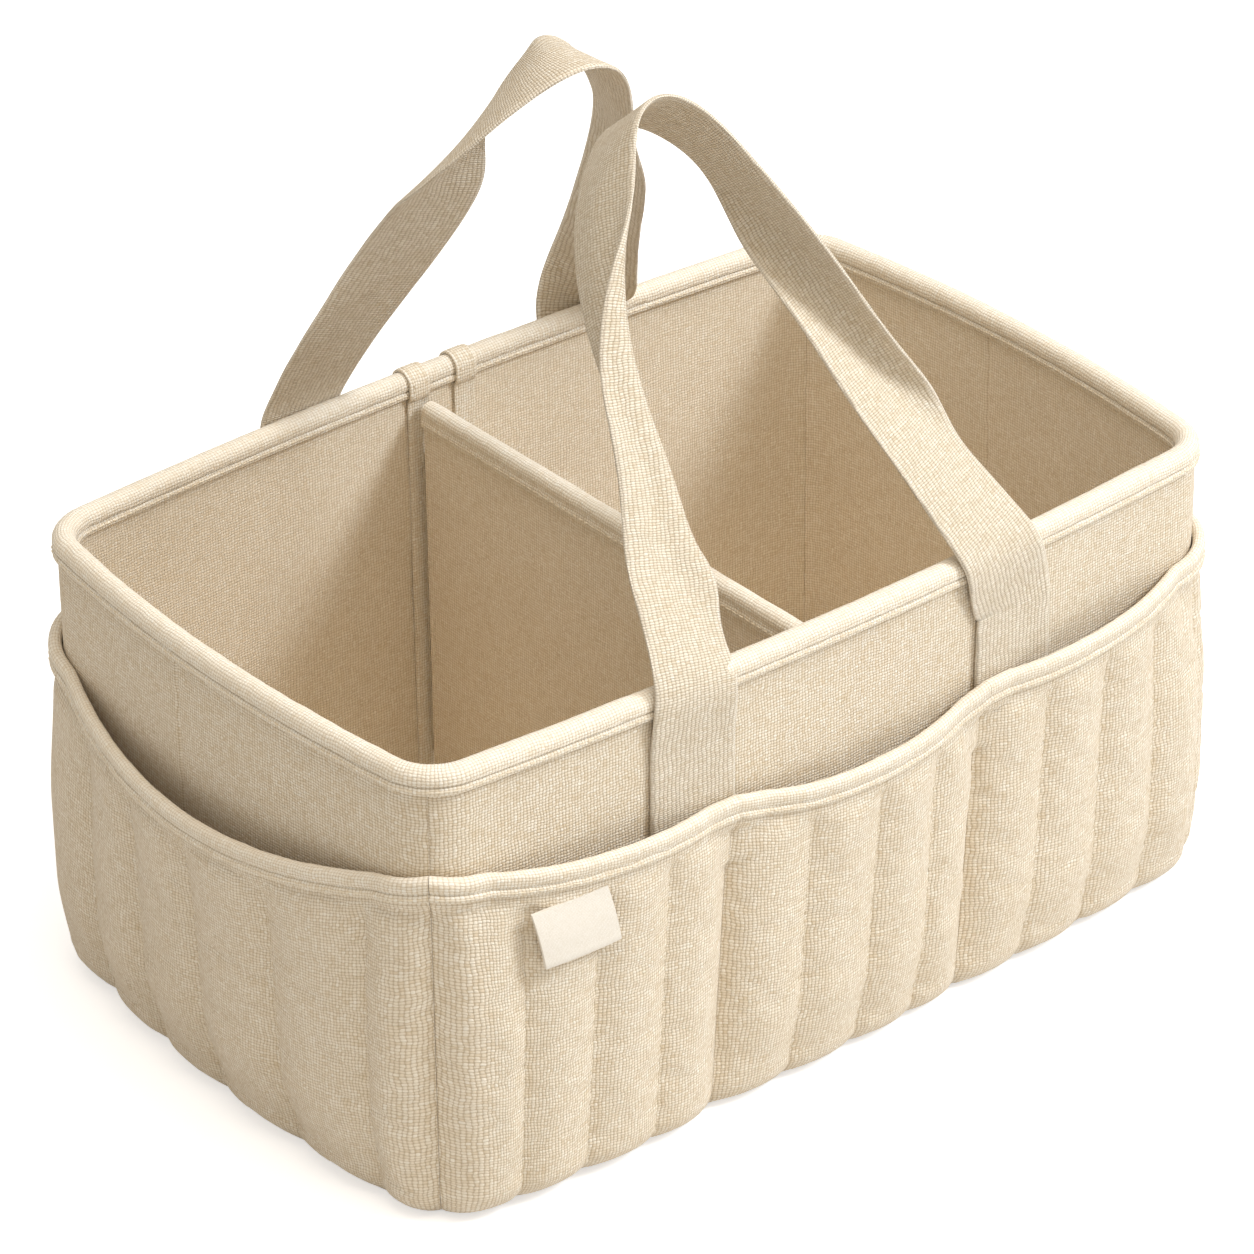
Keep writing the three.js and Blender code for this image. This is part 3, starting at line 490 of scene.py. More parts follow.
FLOOR_FACES = (5.6, 7.6)
FLOOR_INSET = 3.0
FLOOR_EDGE_DROP = 1.1
floor_shares = np.array([0.002, 0.2, 0.4, 0.6, 0.75, 0.86, 0.93, 0.97, 0.99, 1.0])
floor_edge = wall_point(panel_places[:-1, None], -FLOOR_INSET, 0.0)
floor_flat = floor_edge * floor_shares[None, :, None]
floor_top = floor_flat.copy()
floor_wave = 0.25 * unevenness(floor_flat, 70, 51) * (1 - smooth(floor_shares, 0.8, 0.97))
floor_top[..., 2] = FLOOR_FACES[1] - FLOOR_EDGE_DROP * smooth(floor_shares, 0.96, 1.0) + floor_wave
floor_under = floor_flat + np.array([0, 0, FLOOR_FACES[0]])
floor_run = 100 * floor_shares
floor_pad = sewn_sheet("floor_pad", floor_top, floor_under, panel_places, floor_run, lining, loop=True)
lay_flat(floor_pad)
sew_on(floor_pad, "caddy", "lining", "floor_lining")

# Rim binding
# One strip of the canvas, folded over the raw top edges of cover, boards and lining. It is stitched through
# near its lower edge, which leaves a round roll along the top and a flat ledge on both sides.

binding = cloth_finish(
    "Binding canvas", (250, 244, 230), (236, 222, 199), (204, 184, 152), pitches=(1.2, 1.1), relief=0.26
)
TAPE_THICKNESS = 1.0


def folded_tape(name, columns, middle, top, half, leg, roll, loop=False, seed=0):
    """Tape folded over an edge: middle and top are its centre line, half its half thickness at the ledge.

    leg is how far it comes down each side, and roll how thick the stuffed roll at its top is.
    """
    turns = np.linspace(0, math.pi, 13)
    roll_half = roll / 2
    # From its lower edge up, the tape bulges over the ledge and sinks at the stitches, below the roll.
    drop = leg - np.array([0.0, 0.5, 1.6, 2.4, 3.0, 3.5, 4.1])
    swell = half + np.array([-0.25, 0.25, 0.3, 0.15, -0.55, -0.35, 0.1])
    down = np.concatenate([drop, [roll_half * 1.25, roll_half]])
    wide = np.concatenate([swell, [roll_half * 0.97, roll_half]])
    arch_wide, arch_down = roll_half * np.cos(turns)[1:-1], roll_half * (1 - np.sin(turns))[1:-1]
    wide = np.concatenate([wide, arch_wide, -wide[::-1]])
    down = np.concatenate([down, arch_down, down[::-1]])
    around = running(np.hypot(np.diff(wide), np.diff(down)))
    slope = np.stack([np.gradient(down), -np.gradient(wide)], -1)
    slope /= np.linalg.norm(slope, axis=1, keepdims=True)
    under_wide, under_down = wide + slope[:, 0] * TAPE_THICKNESS, down + slope[:, 1] * TAPE_THICKNESS
    places = columns if not loop else columns[:-1]
    middle, top = np.broadcast_to(middle, columns.shape), np.broadcast_to(top, columns.shape)
    if loop:
        middle, top = middle[:-1], top[:-1]
    spot = wall_point(places[:, None], middle[:, None] + wide, top[:, None] - down)
    wave = 0.14 * unevenness(spot, 16, 70 + seed) + 0.07 * unevenness(spot, 6, 71 + seed)
    swollen = wide * (1 + wave / roll_half)
    outer = wall_point(places[:, None], middle[:, None] + swollen, top[:, None] - down + wave * 0.5)
    inner = wall_point(places[:, None], middle[:, None] + under_wide, top[:, None] - under_down)
    # The top of the roll is painted paler, partly rubbed wear and partly painted highlight where the light
    # falls on it.
    rub_and_highlight = smooth(-down, -roll_half * 1.1, 0.0)
    return sewn_sheet(name, outer, inner, columns, around, binding, loop=loop, rub_and_highlight=rub_and_highlight, crease=80)


rim_columns = np.linspace(0, OUTLINE, 521)
rim = folded_tape("rim_fold", rim_columns, 0.1, RIM_HEIGHT, half=4.2, leg=9.0, roll=8.7, loop=True)
sew_on(rim, "caddy", "binding_tape", "rim_binding")

thread_finish, tree, shader = new_finish("Sewing thread")
thread_place = wire(tree, "ShaderNodeTexCoord").outputs["Object"]
thread_tone = noise(tree, thread_place, 240.0, 3.0)["Fac"]
thread_colour = mixed(tree, thread_tone, linear(214, 196, 164), linear(240, 229, 207))
thread_twist = noise(tree, thread_place, 3500.0, 1.0)["Fac"]
finish_with(tree, shader, thread_colour, thread_twist, 0.6, 0.00012, Roughness=0.75, Sheen_Weight=0.1)


def stitch_tree():
    """A node tree that lays a stitch at every pitch along the edges it is given."""
    tree = bpy.data.node_groups.new("Stitch row", "GeometryNodeTree")
    names = {}
    for label, kind, value in (
        ("Rows", "NodeSocketGeometry", None),
        ("Pitch", "NodeSocketFloat", 0.0033),
        ("Length", "NodeSocketFloat", 0.0026),
        ("Thickness", "NodeSocketFloat", 0.0007),
        ("Seed", "NodeSocketInt", 1),
        ("Thread", "NodeSocketMaterial", None),
    ):
        socket = tree.interface.new_socket(name=label, in_out="INPUT", socket_type=kind)
        if value is not None:
            socket.default_value = value
        names[label] = socket.identifier
    tree.interface.new_socket(name="Stitches", in_out="OUTPUT", socket_type="NodeSocketGeometry")
    given, result = tree.nodes.new("NodeGroupInput"), tree.nodes.new("NodeGroupOutput")
    rows = wire(tree, "GeometryNodeMeshToCurve", {"Mesh": given.outputs["Rows"]})
    spaced = tree.nodes.new("GeometryNodeResampleCurve")
    spaced.mode = "LENGTH"
    tree.links.new(rows.outputs[0], spaced.inputs["Curve"])
    tree.links.new(given.outputs["Pitch"], spaced.inputs["Length"])
    ball = wire(tree, "GeometryNodeMeshUVSphere", {"Segments": 6, "Rings": 5, "Radius": 0.5})
    heading = wire(tree, "GeometryNodeInputTangent").outputs[0]
    wobble = tree.nodes.new("FunctionNodeRandomValue")
    wobble.data_type = "FLOAT_VECTOR"
    wobble.inputs[0].default_value = (-0.12, -0.12, -0.12)
    wobble.inputs[1].default_value = (0.12, 0.12, 0.12)
    tree.links.new(given.outputs["Seed"], wobble.inputs["Seed"])
    way = wire(tree, "ShaderNodeVectorMath", {0: heading, 1: wobble.outputs[0]}, operation="ADD")
    turned = tree.nodes.new("FunctionNodeAlignRotationToVector")
    turned.axis = "Z"
    tree.links.new(way.outputs[0], turned.inputs["Vector"])
    thick = given.outputs["Thickness"]
    size = wire(tree, "ShaderNodeCombineXYZ", {0: thick, 1: thick, 2: given.outputs["Length"]})
    laying = {"Points": spaced, "Instance": ball, "Rotation": turned, "Scale": size}
    sources = {label: node.outputs[0] for label, node in laying.items()}
    laid = wire(tree, "GeometryNodeInstanceOnPoints", sources)
    real = wire(tree, "GeometryNodeRealizeInstances", {0: laid.outputs[0]})
    sewn = {"Geometry": real.outputs[0], "Material": given.outputs["Thread"]}
    finished = wire(tree, "GeometryNodeSetMaterial", sewn)
    tree.links.new(finished.outputs[0], result.inputs[0])
    return tree, names


STITCHES, STITCH_INPUTS = stitch_tree()


def stitch(name, rows, body, pitch=3.2, length=2.2, thickness=0.45, seed=1):
    """Sews along rows of points in mm, and returns the stitches as one plain mesh."""
    points, edges = [], []
    for row in rows:
        edges += [(len(points) + i, len(points) + i + 1) for i in range(len(row) - 1)]
        points += [tuple(point * MM) for point in row]
    mesh = bpy.data.meshes.new(name + "_rows")
    mesh.from_pydata(points, edges, [])
    guide = added(name + "_rows", mesh)
    sewing = guide.modifiers.new("Stitches", "NODES")
    sewing.node_group = STITCHES
    values = {"Pitch": pitch * MM, "Length": length * MM, "Thickness": thickness * MM}
    for label, value in (values | {"Seed": seed, "Thread": thread_finish}).items():
        sewing[STITCH_INPUTS[label]] = value
    bpy.context.view_layer.update()
    sewn = bpy.data.meshes.new_from_object(guide.evaluated_get(bpy.context.evaluated_depsgraph_get()))
    bpy.data.objects.remove(guide)
    sewn.name = name
    sewn.shade_smooth()
    return sew_on(added(name, sewn), body, "binding_tape")


RIM_STITCH_DROP = 7.3
RIM_STITCH_OFFSETS = (4.6, -4.4)
rim_rows = [wall_point(rim_columns, offset, RIM_HEIGHT - RIM_STITCH_DROP) for offset in RIM_STITCH_OFFSETS]
stitch("rim_stitches", rim_rows, "caddy")

# Quilted pockets
# Eight panels of canvas over wadding, sewn into upright channels and bound along their mouths. Each is fixed
# down its ends and under the base, and stands a little off the wall so that flat things slip in behind it.

CORNER_TOP, DIVISION_TOP, MIDDLE_LOW, END_LOW = 137.5, 127.0, 120.0, 118.0
LEFT_DIVISION, RIGHT_DIVISION = -54.5, 57.5
COVER_FACE, WEBBING_FACE = 2.9, 5.0
POCKET_CLEARANCE = 0.3
POCKET_GAPE = 7.0
MOUTH_POWER, BODY_POWER = 2.4, 4
FILL_DEPTH, CLOSE_HEIGHT, FLARE_DEPTH = 55.0, 40.0, 45.0
FOOT_END = 103.0
MOUTH_THICKNESS, MOUTH_DEPTH = 2.0, 8.0
BINDING_LEG = 1.6
CHANNEL_FULLNESS, SEAM_THICKNESS, THINNEST = 3.3, 0.3, 0.35
END_DIP, PUCKER_HEIGHT, PUCKER_PITCH = 1.1, 0.22, 6.1
HEM_INSET = 4.0
HEM_TOP, HEM_INNER_TOP, HEM_FLOOR = 13.0, 9.2, 2.2
POCKET_ROWS = 44
near_middle, rear_right_middle = NEAR_CORNER.mean(), REAR_RIGHT_CORNER.mean()
FRONT_START = NEAR_CORNER[1] - OUTLINE
FLAT_STRETCHES = ((FRONT_START, FRONT_RIGHT_CORNER[0]), tuple(RIGHT_SIDE), tuple(REAR_SIDE), tuple(LEFT_SIDE))
quarters = (0.25, 0.5, 0.75)

# A shape's mouth is its heights at the start, the end and the lowest place, that place's share, and a power.
# Its foot is the stretch, as shares, that hangs over the webbing of a handle. Its flare is how far the mouth
# stands out beyond the rest, straighten how far it is drawn in at the base, and hem how open it stays there.
on_side = {"flare": 1.0, "straighten": 0.0, "hem": 0.25}
leaving = on_side | {"mouth": (DIVISION_TOP, CORNER_TOP, DIVISION_TOP, 0.0, 2.3), "foot": (0.0, 0.6)}
level = on_side | {"mouth": (DIVISION_TOP, DIVISION_TOP, MIDDLE_LOW, 0.5, 2.3), "foot": (0.0, 1.0)}
towards = on_side | {"mouth": (CORNER_TOP, DIVISION_TOP, DIVISION_TOP, 1.0, 2.3), "foot": (0.4, 1.0)}
towards["hem"] = 0.9
no_foot = (2.0, 3.0)
at_end = {"flare": 2.6, "straighten": 2.4, "hem": 0.25, "foot": no_foot}
at_end["mouth"] = (CORNER_TOP, CORNER_TOP, END_LOW, 0.5, 1.7)
POCKETS = {
    "front_left": (near_middle - OUTLINE, front_at(LEFT_DIVISION), quarters, towards),
    "front_middle": (front_at(LEFT_DIVISION), front_at(RIGHT_DIVISION), (0.28, 0.55, 0.79), level),
    "front_right": (front_at(RIGHT_DIVISION), FRONT_RIGHT_CORNER[1], (0.23, 0.45, 0.67, 0.88), leaving),
    "right_end": (FRONT_RIGHT_CORNER[1], rear_right_middle, (0.17, 0.34, 0.5, 0.67, 0.84), at_end),
    "rear_right": (rear_right_middle, rear_at(RIGHT_DIVISION), quarters, towards),
    "rear_middle": (rear_at(RIGHT_DIVISION), rear_at(LEFT_DIVISION), quarters, level),
    "rear_left": (rear_at(LEFT_DIVISION), REAR_LEFT_CORNER[0], quarters, leaving),
    "left_end": (REAR_LEFT_CORNER[0], near_middle, (0.21, 0.35, 0.51, 0.7, 0.9), at_end),
}


def mouth_height(share, shape):
    """Height of a pocket's mouth at a share of its length."""
    start, finish, low, low_share, power = shape["mouth"]
    before = share < low_share
    run = np.where(before, low_share or 1, (1 - low_share) or 1)
    reach = np.where(before, low_share - share, share - low_share) / run
    return low + (np.where(before, start, finish) - low) * np.clip(reach, 0, None) ** power


def mouth_offset(name, along, below, height):
    """How far a pocket's inner face is from the wall's middle, at a distance below its binding.

    The panel is drawn tight round the corners at its mouth, fills out below it and closes towards its hem.
    """
    begin, finish, _, shape = POCKETS[name]
    middle = (begin + finish) / 2
    flat_begin, flat_finish = next(flat for flat in FLAT_STRETCHES if flat[0] < middle < flat[1])
    flat_begin, flat_finish = max(begin, flat_begin), min(finish, flat_finish)
    flat_share = np.clip((along - flat_begin) / (flat_finish - flat_begin), 0, 1)
    share = np.clip((along - begin) / (finish - begin), 0, 1)
    mouth_open = 1 - np.abs(2 * flat_share - 1) ** MOUTH_POWER
    body_open = 1 - np.abs(2 * share - 1) ** BODY_POWER
    opened = mouth_open + (body_open - mouth_open) * smooth(below, 0, FILL_DEPTH)
    from_hem = smooth(height, 0, CLOSE_HEIGHT)
    closing = shape["hem"] + (1 - shape["hem"]) * from_hem
    drawn_in = shape["straighten"] * body_open * (1 - from_hem)
    space = np.clip(POCKET_GAPE * closing * opened - drawn_in, 0, None)
    space = space + shape["flare"] * mouth_open * np.clip(1 - below / FLARE_DEPTH, 0, 1) ** 2
    over_foot = (shape["foot"][0] <= share) & (share <= shape["foot"][1])
    foot_face = COVER_FACE + (WEBBING_FACE - COVER_FACE) * smooth(height, FOOT_END - 4, FOOT_END)
    behind = np.where(over_foot, foot_face, COVER_FACE)
    leg = BINDING_LEG * (1 - smooth(below, 0.0, 4.0))
    return np.maximum(behind + POCKET_CLEARANCE + leg, COVER_FACE + POCKET_CLEARANCE + space)


FRONT_LEAN, LEFT_LEAN = 8.0, 4.5


def seam_lean(along, depth):
    """The channels lean towards the near corner as they go down, more on the front than on the left end."""
    place = np.mod(along - near_middle, OUTLINE)
    front_run = np.mod(FRONT_RIGHT_CORNER[0] - near_middle, OUTLINE)
    left_run = OUTLINE - np.mod(LEFT_SIDE[0] - near_middle, OUTLINE)
    front = -FRONT_LEAN * smooth(place, 6, 46) * (1 - smooth(place, front_run - 90, front_run - 5))
    back = OUTLINE - place
    left = LEFT_LEAN * smooth(back, 6, 50) * (1 - smooth(back, left_run - 60, left_run - 5))
    return (front + left) * depth


def channel_places(begin, finish, shares, steps=15):
    """Places across a pocket, close together at its seams, and where its seams are."""
    edges = [begin + (finish - begin) * share for share in (0, *shares, 1)]
    eased = (1 - np.cos(np.linspace(0, math.pi, steps))) / 2
    spans = [low + (high - low) * eased[:-1] for low, high in zip(edges, edges[1:])]
    return np.concatenate([*spans, [finish]]), np.array(edges)


def quilted_panel(name):
    """The points of a pocket's two faces, with what the bindings, stitches and wadding need."""
    begin, finish, shares, shape = POCKETS[name]
    begin, finish = begin + 0.06, finish - 0.06
    columns, edges = channel_places(begin, finish, shares)
    share = (columns - begin) / (finish - begin)
    top = mouth_height(share, shape)
    channel = np.clip(np.searchsorted(edges, columns, side="right") - 1, 0, len(edges) - 2)
    across = (columns - edges[channel]) / (edges[channel + 1] - edges[channel])
    fullness = 1 - np.abs(2 * across - 1) ** 2.5
    from_seam = np.minimum(across, 1 - across) * (edges[channel + 1] - edges[channel])
    from_end = np.minimum(columns - begin, finish - columns)
    straight = np.linspace(0, 1, POCKET_ROWS) ** 1.15
    head = np.array([0.0, 2.5, 5.0, 7.0, MOUTH_DEPTH])
    start = (top - MOUTH_DEPTH - 0.8)[:, None]
    height = np.concatenate([top[:, None] - head, start + (HEM_TOP - start) * straight], axis=1)
    bends = np.linspace(0, math.pi / 2, 15)[1:]
    below = np.clip((top - MOUTH_DEPTH)[:, None] - height, 0, None)
    stands = mouth_offset(name, columns[:, None], below, height)
    open_below = smooth(below, 0.0, 9.0)
    dip = END_DIP * np.exp(-from_end)
    uneven = 3 * unevenness(wall_point(columns[:, None], 0, height), 30, 90)
    puckered = PUCKER_HEIGHT * np.exp(-from_seam / 3.5)[:, None]
    pucker = puckered * np.sin(2 * math.pi * height / PUCKER_PITCH + uneven)
    quilt = SEAM_THICKNESS + CHANNEL_FULLNESS * fullness - dip
    grown = MOUTH_THICKNESS * (1 - open_below) + open_below * (quilt[:, None] + pucker)
    face = stands + np.maximum(grown, THINNEST)
    depth = np.clip((top[:, None] - height) / top[:, None], 0, 1)
    outer_along = columns[:, None] + seam_lean(columns[:, None], depth)
    outer = wall_point(outer_along, face, height)
    swing = (face[:, -1:] + HEM_INSET) * np.cos(bends) - HEM_INSET
    sink = HEM_TOP - (HEM_TOP - 0.6 * smooth(bends, 0.9, 1.57)) * np.sin(bends)
    turned_along = columns[:, None] + seam_lean(columns[:, None], 1 - 0.1 * np.cos(bends)[None])
    outer_turn = wall_point(turned_along, swing, np.broadcast_to(sink, swing.shape))
    outer = np.concatenate([outer, outer_turn], axis=1)
    inner = wall_point(outer_along, stands, height)
    inner_reach = (stands[:, -1:] + HEM_INSET) * np.cos(bends) - HEM_INSET
    inner_curve = HEM_FLOOR + (HEM_INNER_TOP - HEM_FLOOR) * (1 - np.sin(bends))
    inner_turn = wall_point(turned_along, inner_reach, np.broadcast_to(inner_curve, inner_reach.shape))
    inner = np.concatenate([inner, inner_turn], axis=1)
    seams = [int(np.argmin(np.abs(columns - edge))) for edge in edges[1:-1]]
    faces = {"outer": outer, "inner": inner}
    return faces | {"columns": columns, "seams": seams, "fullness": fullness, "shape": shape}


panels = {name: quilted_panel(name) for name in POCKETS}


WADDING_REACH = 0.6
SETTLING_FRAMES = 14


def fill_with_wadding(panels):
    """Presses wadding against the pockets' faces as cloth held along its seams, and caps how far it moves."""
    points, faces, held, spans = [], [], [], {}
    for name, panel in panels.items():
        grid = panel["outer"]
        count, rows = grid.shape[:2]
        start = sum(len(p) for p in points)
        index = start + np.arange(count * rows).reshape(count, rows)
        spans[name] = (start, count, rows)
        points.append(grid.reshape(-1, 3) * MM)
        quads = np.stack([index[:-1, :-1], index[1:, :-1], index[1:, 1:], index[:-1, 1:]], -1).reshape(-1, 4)
        faces += quads[:, ::-1].tolist()
        held += index[:, :6].ravel().tolist() + index[:, -3:].ravel().tolist()
        for column in (0, 1, count - 2, count - 1, *panel["seams"]):
            held += index[column].ravel().tolist()
    mesh = bpy.data.meshes.new("wadding")
    mesh.from_pydata(np.concatenate(points).tolist(), [], faces)
    pad = added("wadding", mesh)
    pad.vertex_groups.new(name="sewn").add(sorted(set(held)), 1.0, "ADD")
    cloth = pad.modifiers.new("Cloth", "CLOTH")
    settings = cloth.settings
    settings.quality = 6
    settings.mass = 0.25
    settings.tension_stiffness = settings.compression_stiffness = 12
    settings.shear_stiffness = 4
    settings.bending_stiffness = 0.4
    settings.vertex_group_mass = "sewn"
    settings.shrink_min = settings.shrink_max = -0.01
    settings.use_pressure = True
    settings.uniform_pressure_force = 4
    settings.effector_weights.gravity = 0
    cloth.point_cache.frame_end = SETTLING_FRAMES
    scene = bpy.context.scene
    for moment in range(1, SETTLING_FRAMES + 1):
        scene.frame_set(moment)
    shaped = pad.evaluated_get(bpy.context.evaluated_depsgraph_get()).to_mesh()
    moved = np.empty(len(shaped.vertices) * 3)
    shaped.vertices.foreach_get("co", moved)
    moved = moved.reshape(-1, 3) / MM
    scene.frame_set(1)
    bpy.data.objects.remove(pad)
    for name, (start, count, rows) in spans.items():
        grid = panels[name]["outer"]
        shift = moved[start : start + count * rows].reshape(count, rows, 3) - grid
        far = np.linalg.norm(shift, axis=-1, keepdims=True)
        panels[name]["outer"] = grid + shift * np.minimum(1, WADDING_REACH / np.maximum(far, 1e-6))


fill_with_wadding(panels)

for name, panel in panels.items():
    faces, columns = (panel["outer"], panel["inner"]), panel["columns"]
    run = np.linalg.norm(np.diff(panel["outer"], axis=1), axis=-1).mean(0)
    across = 200.0 - running(run)
    # The crowns of the channels are painted a little paler, partly rubbed wear and partly painted highlight on
    # the lit crowns.
    rub_and_highlight = 0.25 * panel["fullness"][:, None] * np.ones(panel["outer"].shape[1])
    pocket = sewn_sheet(f"{name}_quilt", *faces, columns, across, canvas, rub_and_highlight=rub_and_highlight, crease=75)
    sew_on(pocket, "caddy", "canvas", f"{name}_pocket")

seam_rows = []
for panel in panels.values():
    for column in panel["seams"]:
        seam_rows.append(panel["outer"][column, 5:-4])
stitch("quilting_stitches", seam_rows, "caddy", pitch=3.4, length=2.2, thickness=0.4, seed=5)

# Pocket bindings
# Each pocket mouth is bound with its own folded strip, sewn like the rim but narrower. The strips end at the
# divisions and corners, where the pocket is sewn down to the wall.

ROLL_RISE, MOUTH_STITCH_OUT, MOUTH_STITCH_DROP = 1.9, 2.4, 7.0
binding_rows = []
for number, (name, panel) in enumerate(panels.items()):
    begin, finish = panel["columns"][0], panel["columns"][-1]
    columns = np.linspace(begin, finish, int((finish - begin) / 2.0))
    share = (columns - begin) / (finish - begin)
    top = mouth_height(share, panel["shape"]) + ROLL_RISE
    middle = mouth_offset(name, columns, 0.0, top) + MOUTH_THICKNESS / 2
    mouth = folded_tape(f"{name}_mouth", columns, middle, top, half=2.1, leg=8.6, roll=4.8, seed=3 + number)
    sew_on(mouth, "caddy", "binding_tape", f"{name}_pocket_binding")
    binding_rows.append(wall_point(columns, middle + MOUTH_STITCH_OUT, top - MOUTH_STITCH_DROP)[1:-1])
stitch("pocket_mouth_stitches", binding_rows, "caddy", pitch=3.2, length=2.2, thickness=0.45, seed=9)

# Carrying handles
# Two loops of ribbed cotton webbing with woven selvedges. Each end is sewn flat to the wall, down behind the
# pocket mouths. The free part bends in over the rim, leans inwards and turns about its own length as it rises.

WEBBING_WIDTH = 35.0
WEBBING_THICKNESS = 1.8
HANDLE_ROOT = 152.0
FOOT_OFFSET = 4.1
RIM_OFFSET = 5.9
BEND_RADIUS = 9.0
BEND_START = WALL_TOP - HANDLE_ROOT
FOOT_LENGTH = 46.0
SMOOTHING_PASSES = 8

# across and climb are the knots of a handle's path on its leaning sheet, and turns are its turns there in
# degrees. lag is how far the turn of one selvedge runs ahead of the other's, on the left leg and the right.
HANDLES = {
    "front": {
        "at": front_at,
        "feet": (-70.3, 73.3),
        "lean": 38.1,
        "across": (-70.0, -63.4, -55.3, -49.5, -27.5, 0.3, 22.5, 35.6, 45.4, 55.3, 67.4),
        "climb": (17.6, 58.5, 95.5, 137.0, 189.0, 208.5, 187.0, 148.0, 103.5, 61.5, 17.6),
        "turns": (0, 15, -5, 98, 91, 89, 101, 86, -6, -13, 0),
        "lag": (0.56, 0.42),
    },
    "rear": {
        "at": rear_at,
        "feet": (-57.0, 73.3),
        "lean": 26.8,
        "across": (-57.5, -51.5, -38.5, -29.0, -23.0, 9.5, 41.0, 58.0, 65.0, 71.0, 70.0),
        "climb": (17.6, 56.0, 93.5, 129.0, 157.0, 187.0, 151.5, 118.0, 84.0, 47.0, 17.6),
        "turns": (0, -6, -10, -14, 30, 57, 92, 92, 85, 62, 0),
        "lag": (-0.28, 0.0),
    },
}


def handle_profile(lean, climb):
    """Offset and height of a handle's sheet after a climb measured along the webbing from its root."""
    rise = np.minimum(climb, BEND_START)
    offset = FOOT_OFFSET + (RIM_OFFSET - FOOT_OFFSET) * smooth(rise, 0, BEND_START)
    bend = BEND_RADIUS * lean
    turned = np.clip((climb - BEND_START) / bend, 0, 1) * lean
    beyond = np.maximum(0, climb - BEND_START - bend)
    return (
        offset - BEND_RADIUS * (1 - np.cos(turned)) - beyond * np.sin(lean),
        HANDLE_ROOT + rise + BEND_RADIUS * np.sin(turned) + beyond * np.cos(lean),
    )


def along_knots(knots, places):
    """Points on the smoothest curve through the knots, at places counted in knots."""
    knots = np.asarray(knots, float)
    count = len(knots)
    system, pull = np.eye(count), np.zeros_like(knots)
    for i in range(1, count - 1):
        system[i, i - 1 : i + 2] = 1, 4, 1
        pull[i] = 6 * (knots[i - 1] - 2 * knots[i] + knots[i + 1])
    bend = np.linalg.solve(system, pull)
    i = np.clip(np.floor(places).astype(int), 0, count - 2)
    past = (places - i).reshape(-1, *[1] * (knots.ndim - 1))
    left = 1 - past
    bow = (left**3 - left) * bend[i] + (past**3 - past) * bend[i + 1]
    return left * knots[i] + past * knots[i + 1] + bow / 6


def unit(vectors):
    return vectors / np.linalg.norm(vectors, axis=-1, keepdims=True)


def strap_surface(handle, strands=28, per_knot=18):
    """The middle surface of a webbing handle, from one foot's lower end to the other's."""
    lean = math.radians(handle["lean"])
    low, high = handle["feet"]
    knots, turns = np.array([handle["across"], handle["climb"]]).T, np.radians(handle["turns"])
    last = len(knots) - 1
    places = np.linspace(0, last, last * per_knot + 1)
    climbing = np.linspace((low, 0.3), knots[0], 9)[:-1]
    falling = np.linspace(knots[-1], (high, 0.3), 9)[1:]
    path = np.concatenate([climbing, along_knots(knots, places), falling])
    free_shares = np.concatenate([np.zeros(8), places / last, np.ones(8)])
    ahead = np.gradient(path, axis=0)
    ahead[[0, -1], 0] = 0
    foot_rows = np.linspace(-FOOT_LENGTH, 0, 15)[:-1]
    rings = []

    def on_sheet(x, climb):
        offset, height = handle_profile(lean, np.asarray(climb, float))
        return wall_point(handle["at"](x), offset, height)

    for free, (x, climb), run in zip(free_shares, path, unit(ahead)):
        middle = on_sheet(x, climb)
        along_x = unit(on_sheet(x + 1.0, climb) - middle)
        up = on_sheet(x, climb + 1.0) - middle
        up = unit(up - along_x * (up @ along_x))
        facing = np.cross(along_x, up)
        outwards = -run[1] * along_x + run[0] * up
        swell = abs(math.cos(free * math.pi)) * smooth(min(free, 1 - free), 0, 0.22)
        lag = swell * handle["lag"][0 if free < 0.5 else 1]
        spread = (np.arange(strands) + 0.5) / strands
        angles = along_knots(turns, np.clip(free + lag * (0.5 - spread), 0, 1) * last)
        steps = np.stack([np.cos(angles), np.sin(angles)], -1) * WEBBING_WIDTH / strands
        section = np.concatenate([[[0.0, 0.0]], np.cumsum(steps, axis=0)])
        section -= section.mean(0)
        rings.append(middle + section[:, :1] * outwards + section[:, 1:] * facing)
    rings = np.array(rings)
    for _ in range(SMOOTHING_PASSES):
        inner_rings = (rings[:-2] + 2 * rings[1:-1] + rings[2:]) / 4
        rings = np.concatenate([rings[:1], inner_rings, rings[-1:]])
    foot = []
    for side, ring in ((low, rings[0]), (high, rings[-1])):
        sense = 1 if side == low else -1
        spots = side + sense * (np.linspace(0, 1, strands + 1) - 0.5) * WEBBING_WIDTH
        spots = [handle["at"](x) for x in spots]
        rows = np.array([wall_point(spots, FOOT_OFFSET, HANDLE_ROOT + fall) for fall in foot_rows])
        if np.linalg.norm(rows[-1, 0] - ring[0]) > np.linalg.norm(rows[-1, -1] - ring[0]):
            rows = rows[:, ::-1]
        foot.append(rows)
    return np.concatenate([foot[0], rings, foot[1][::-1]])


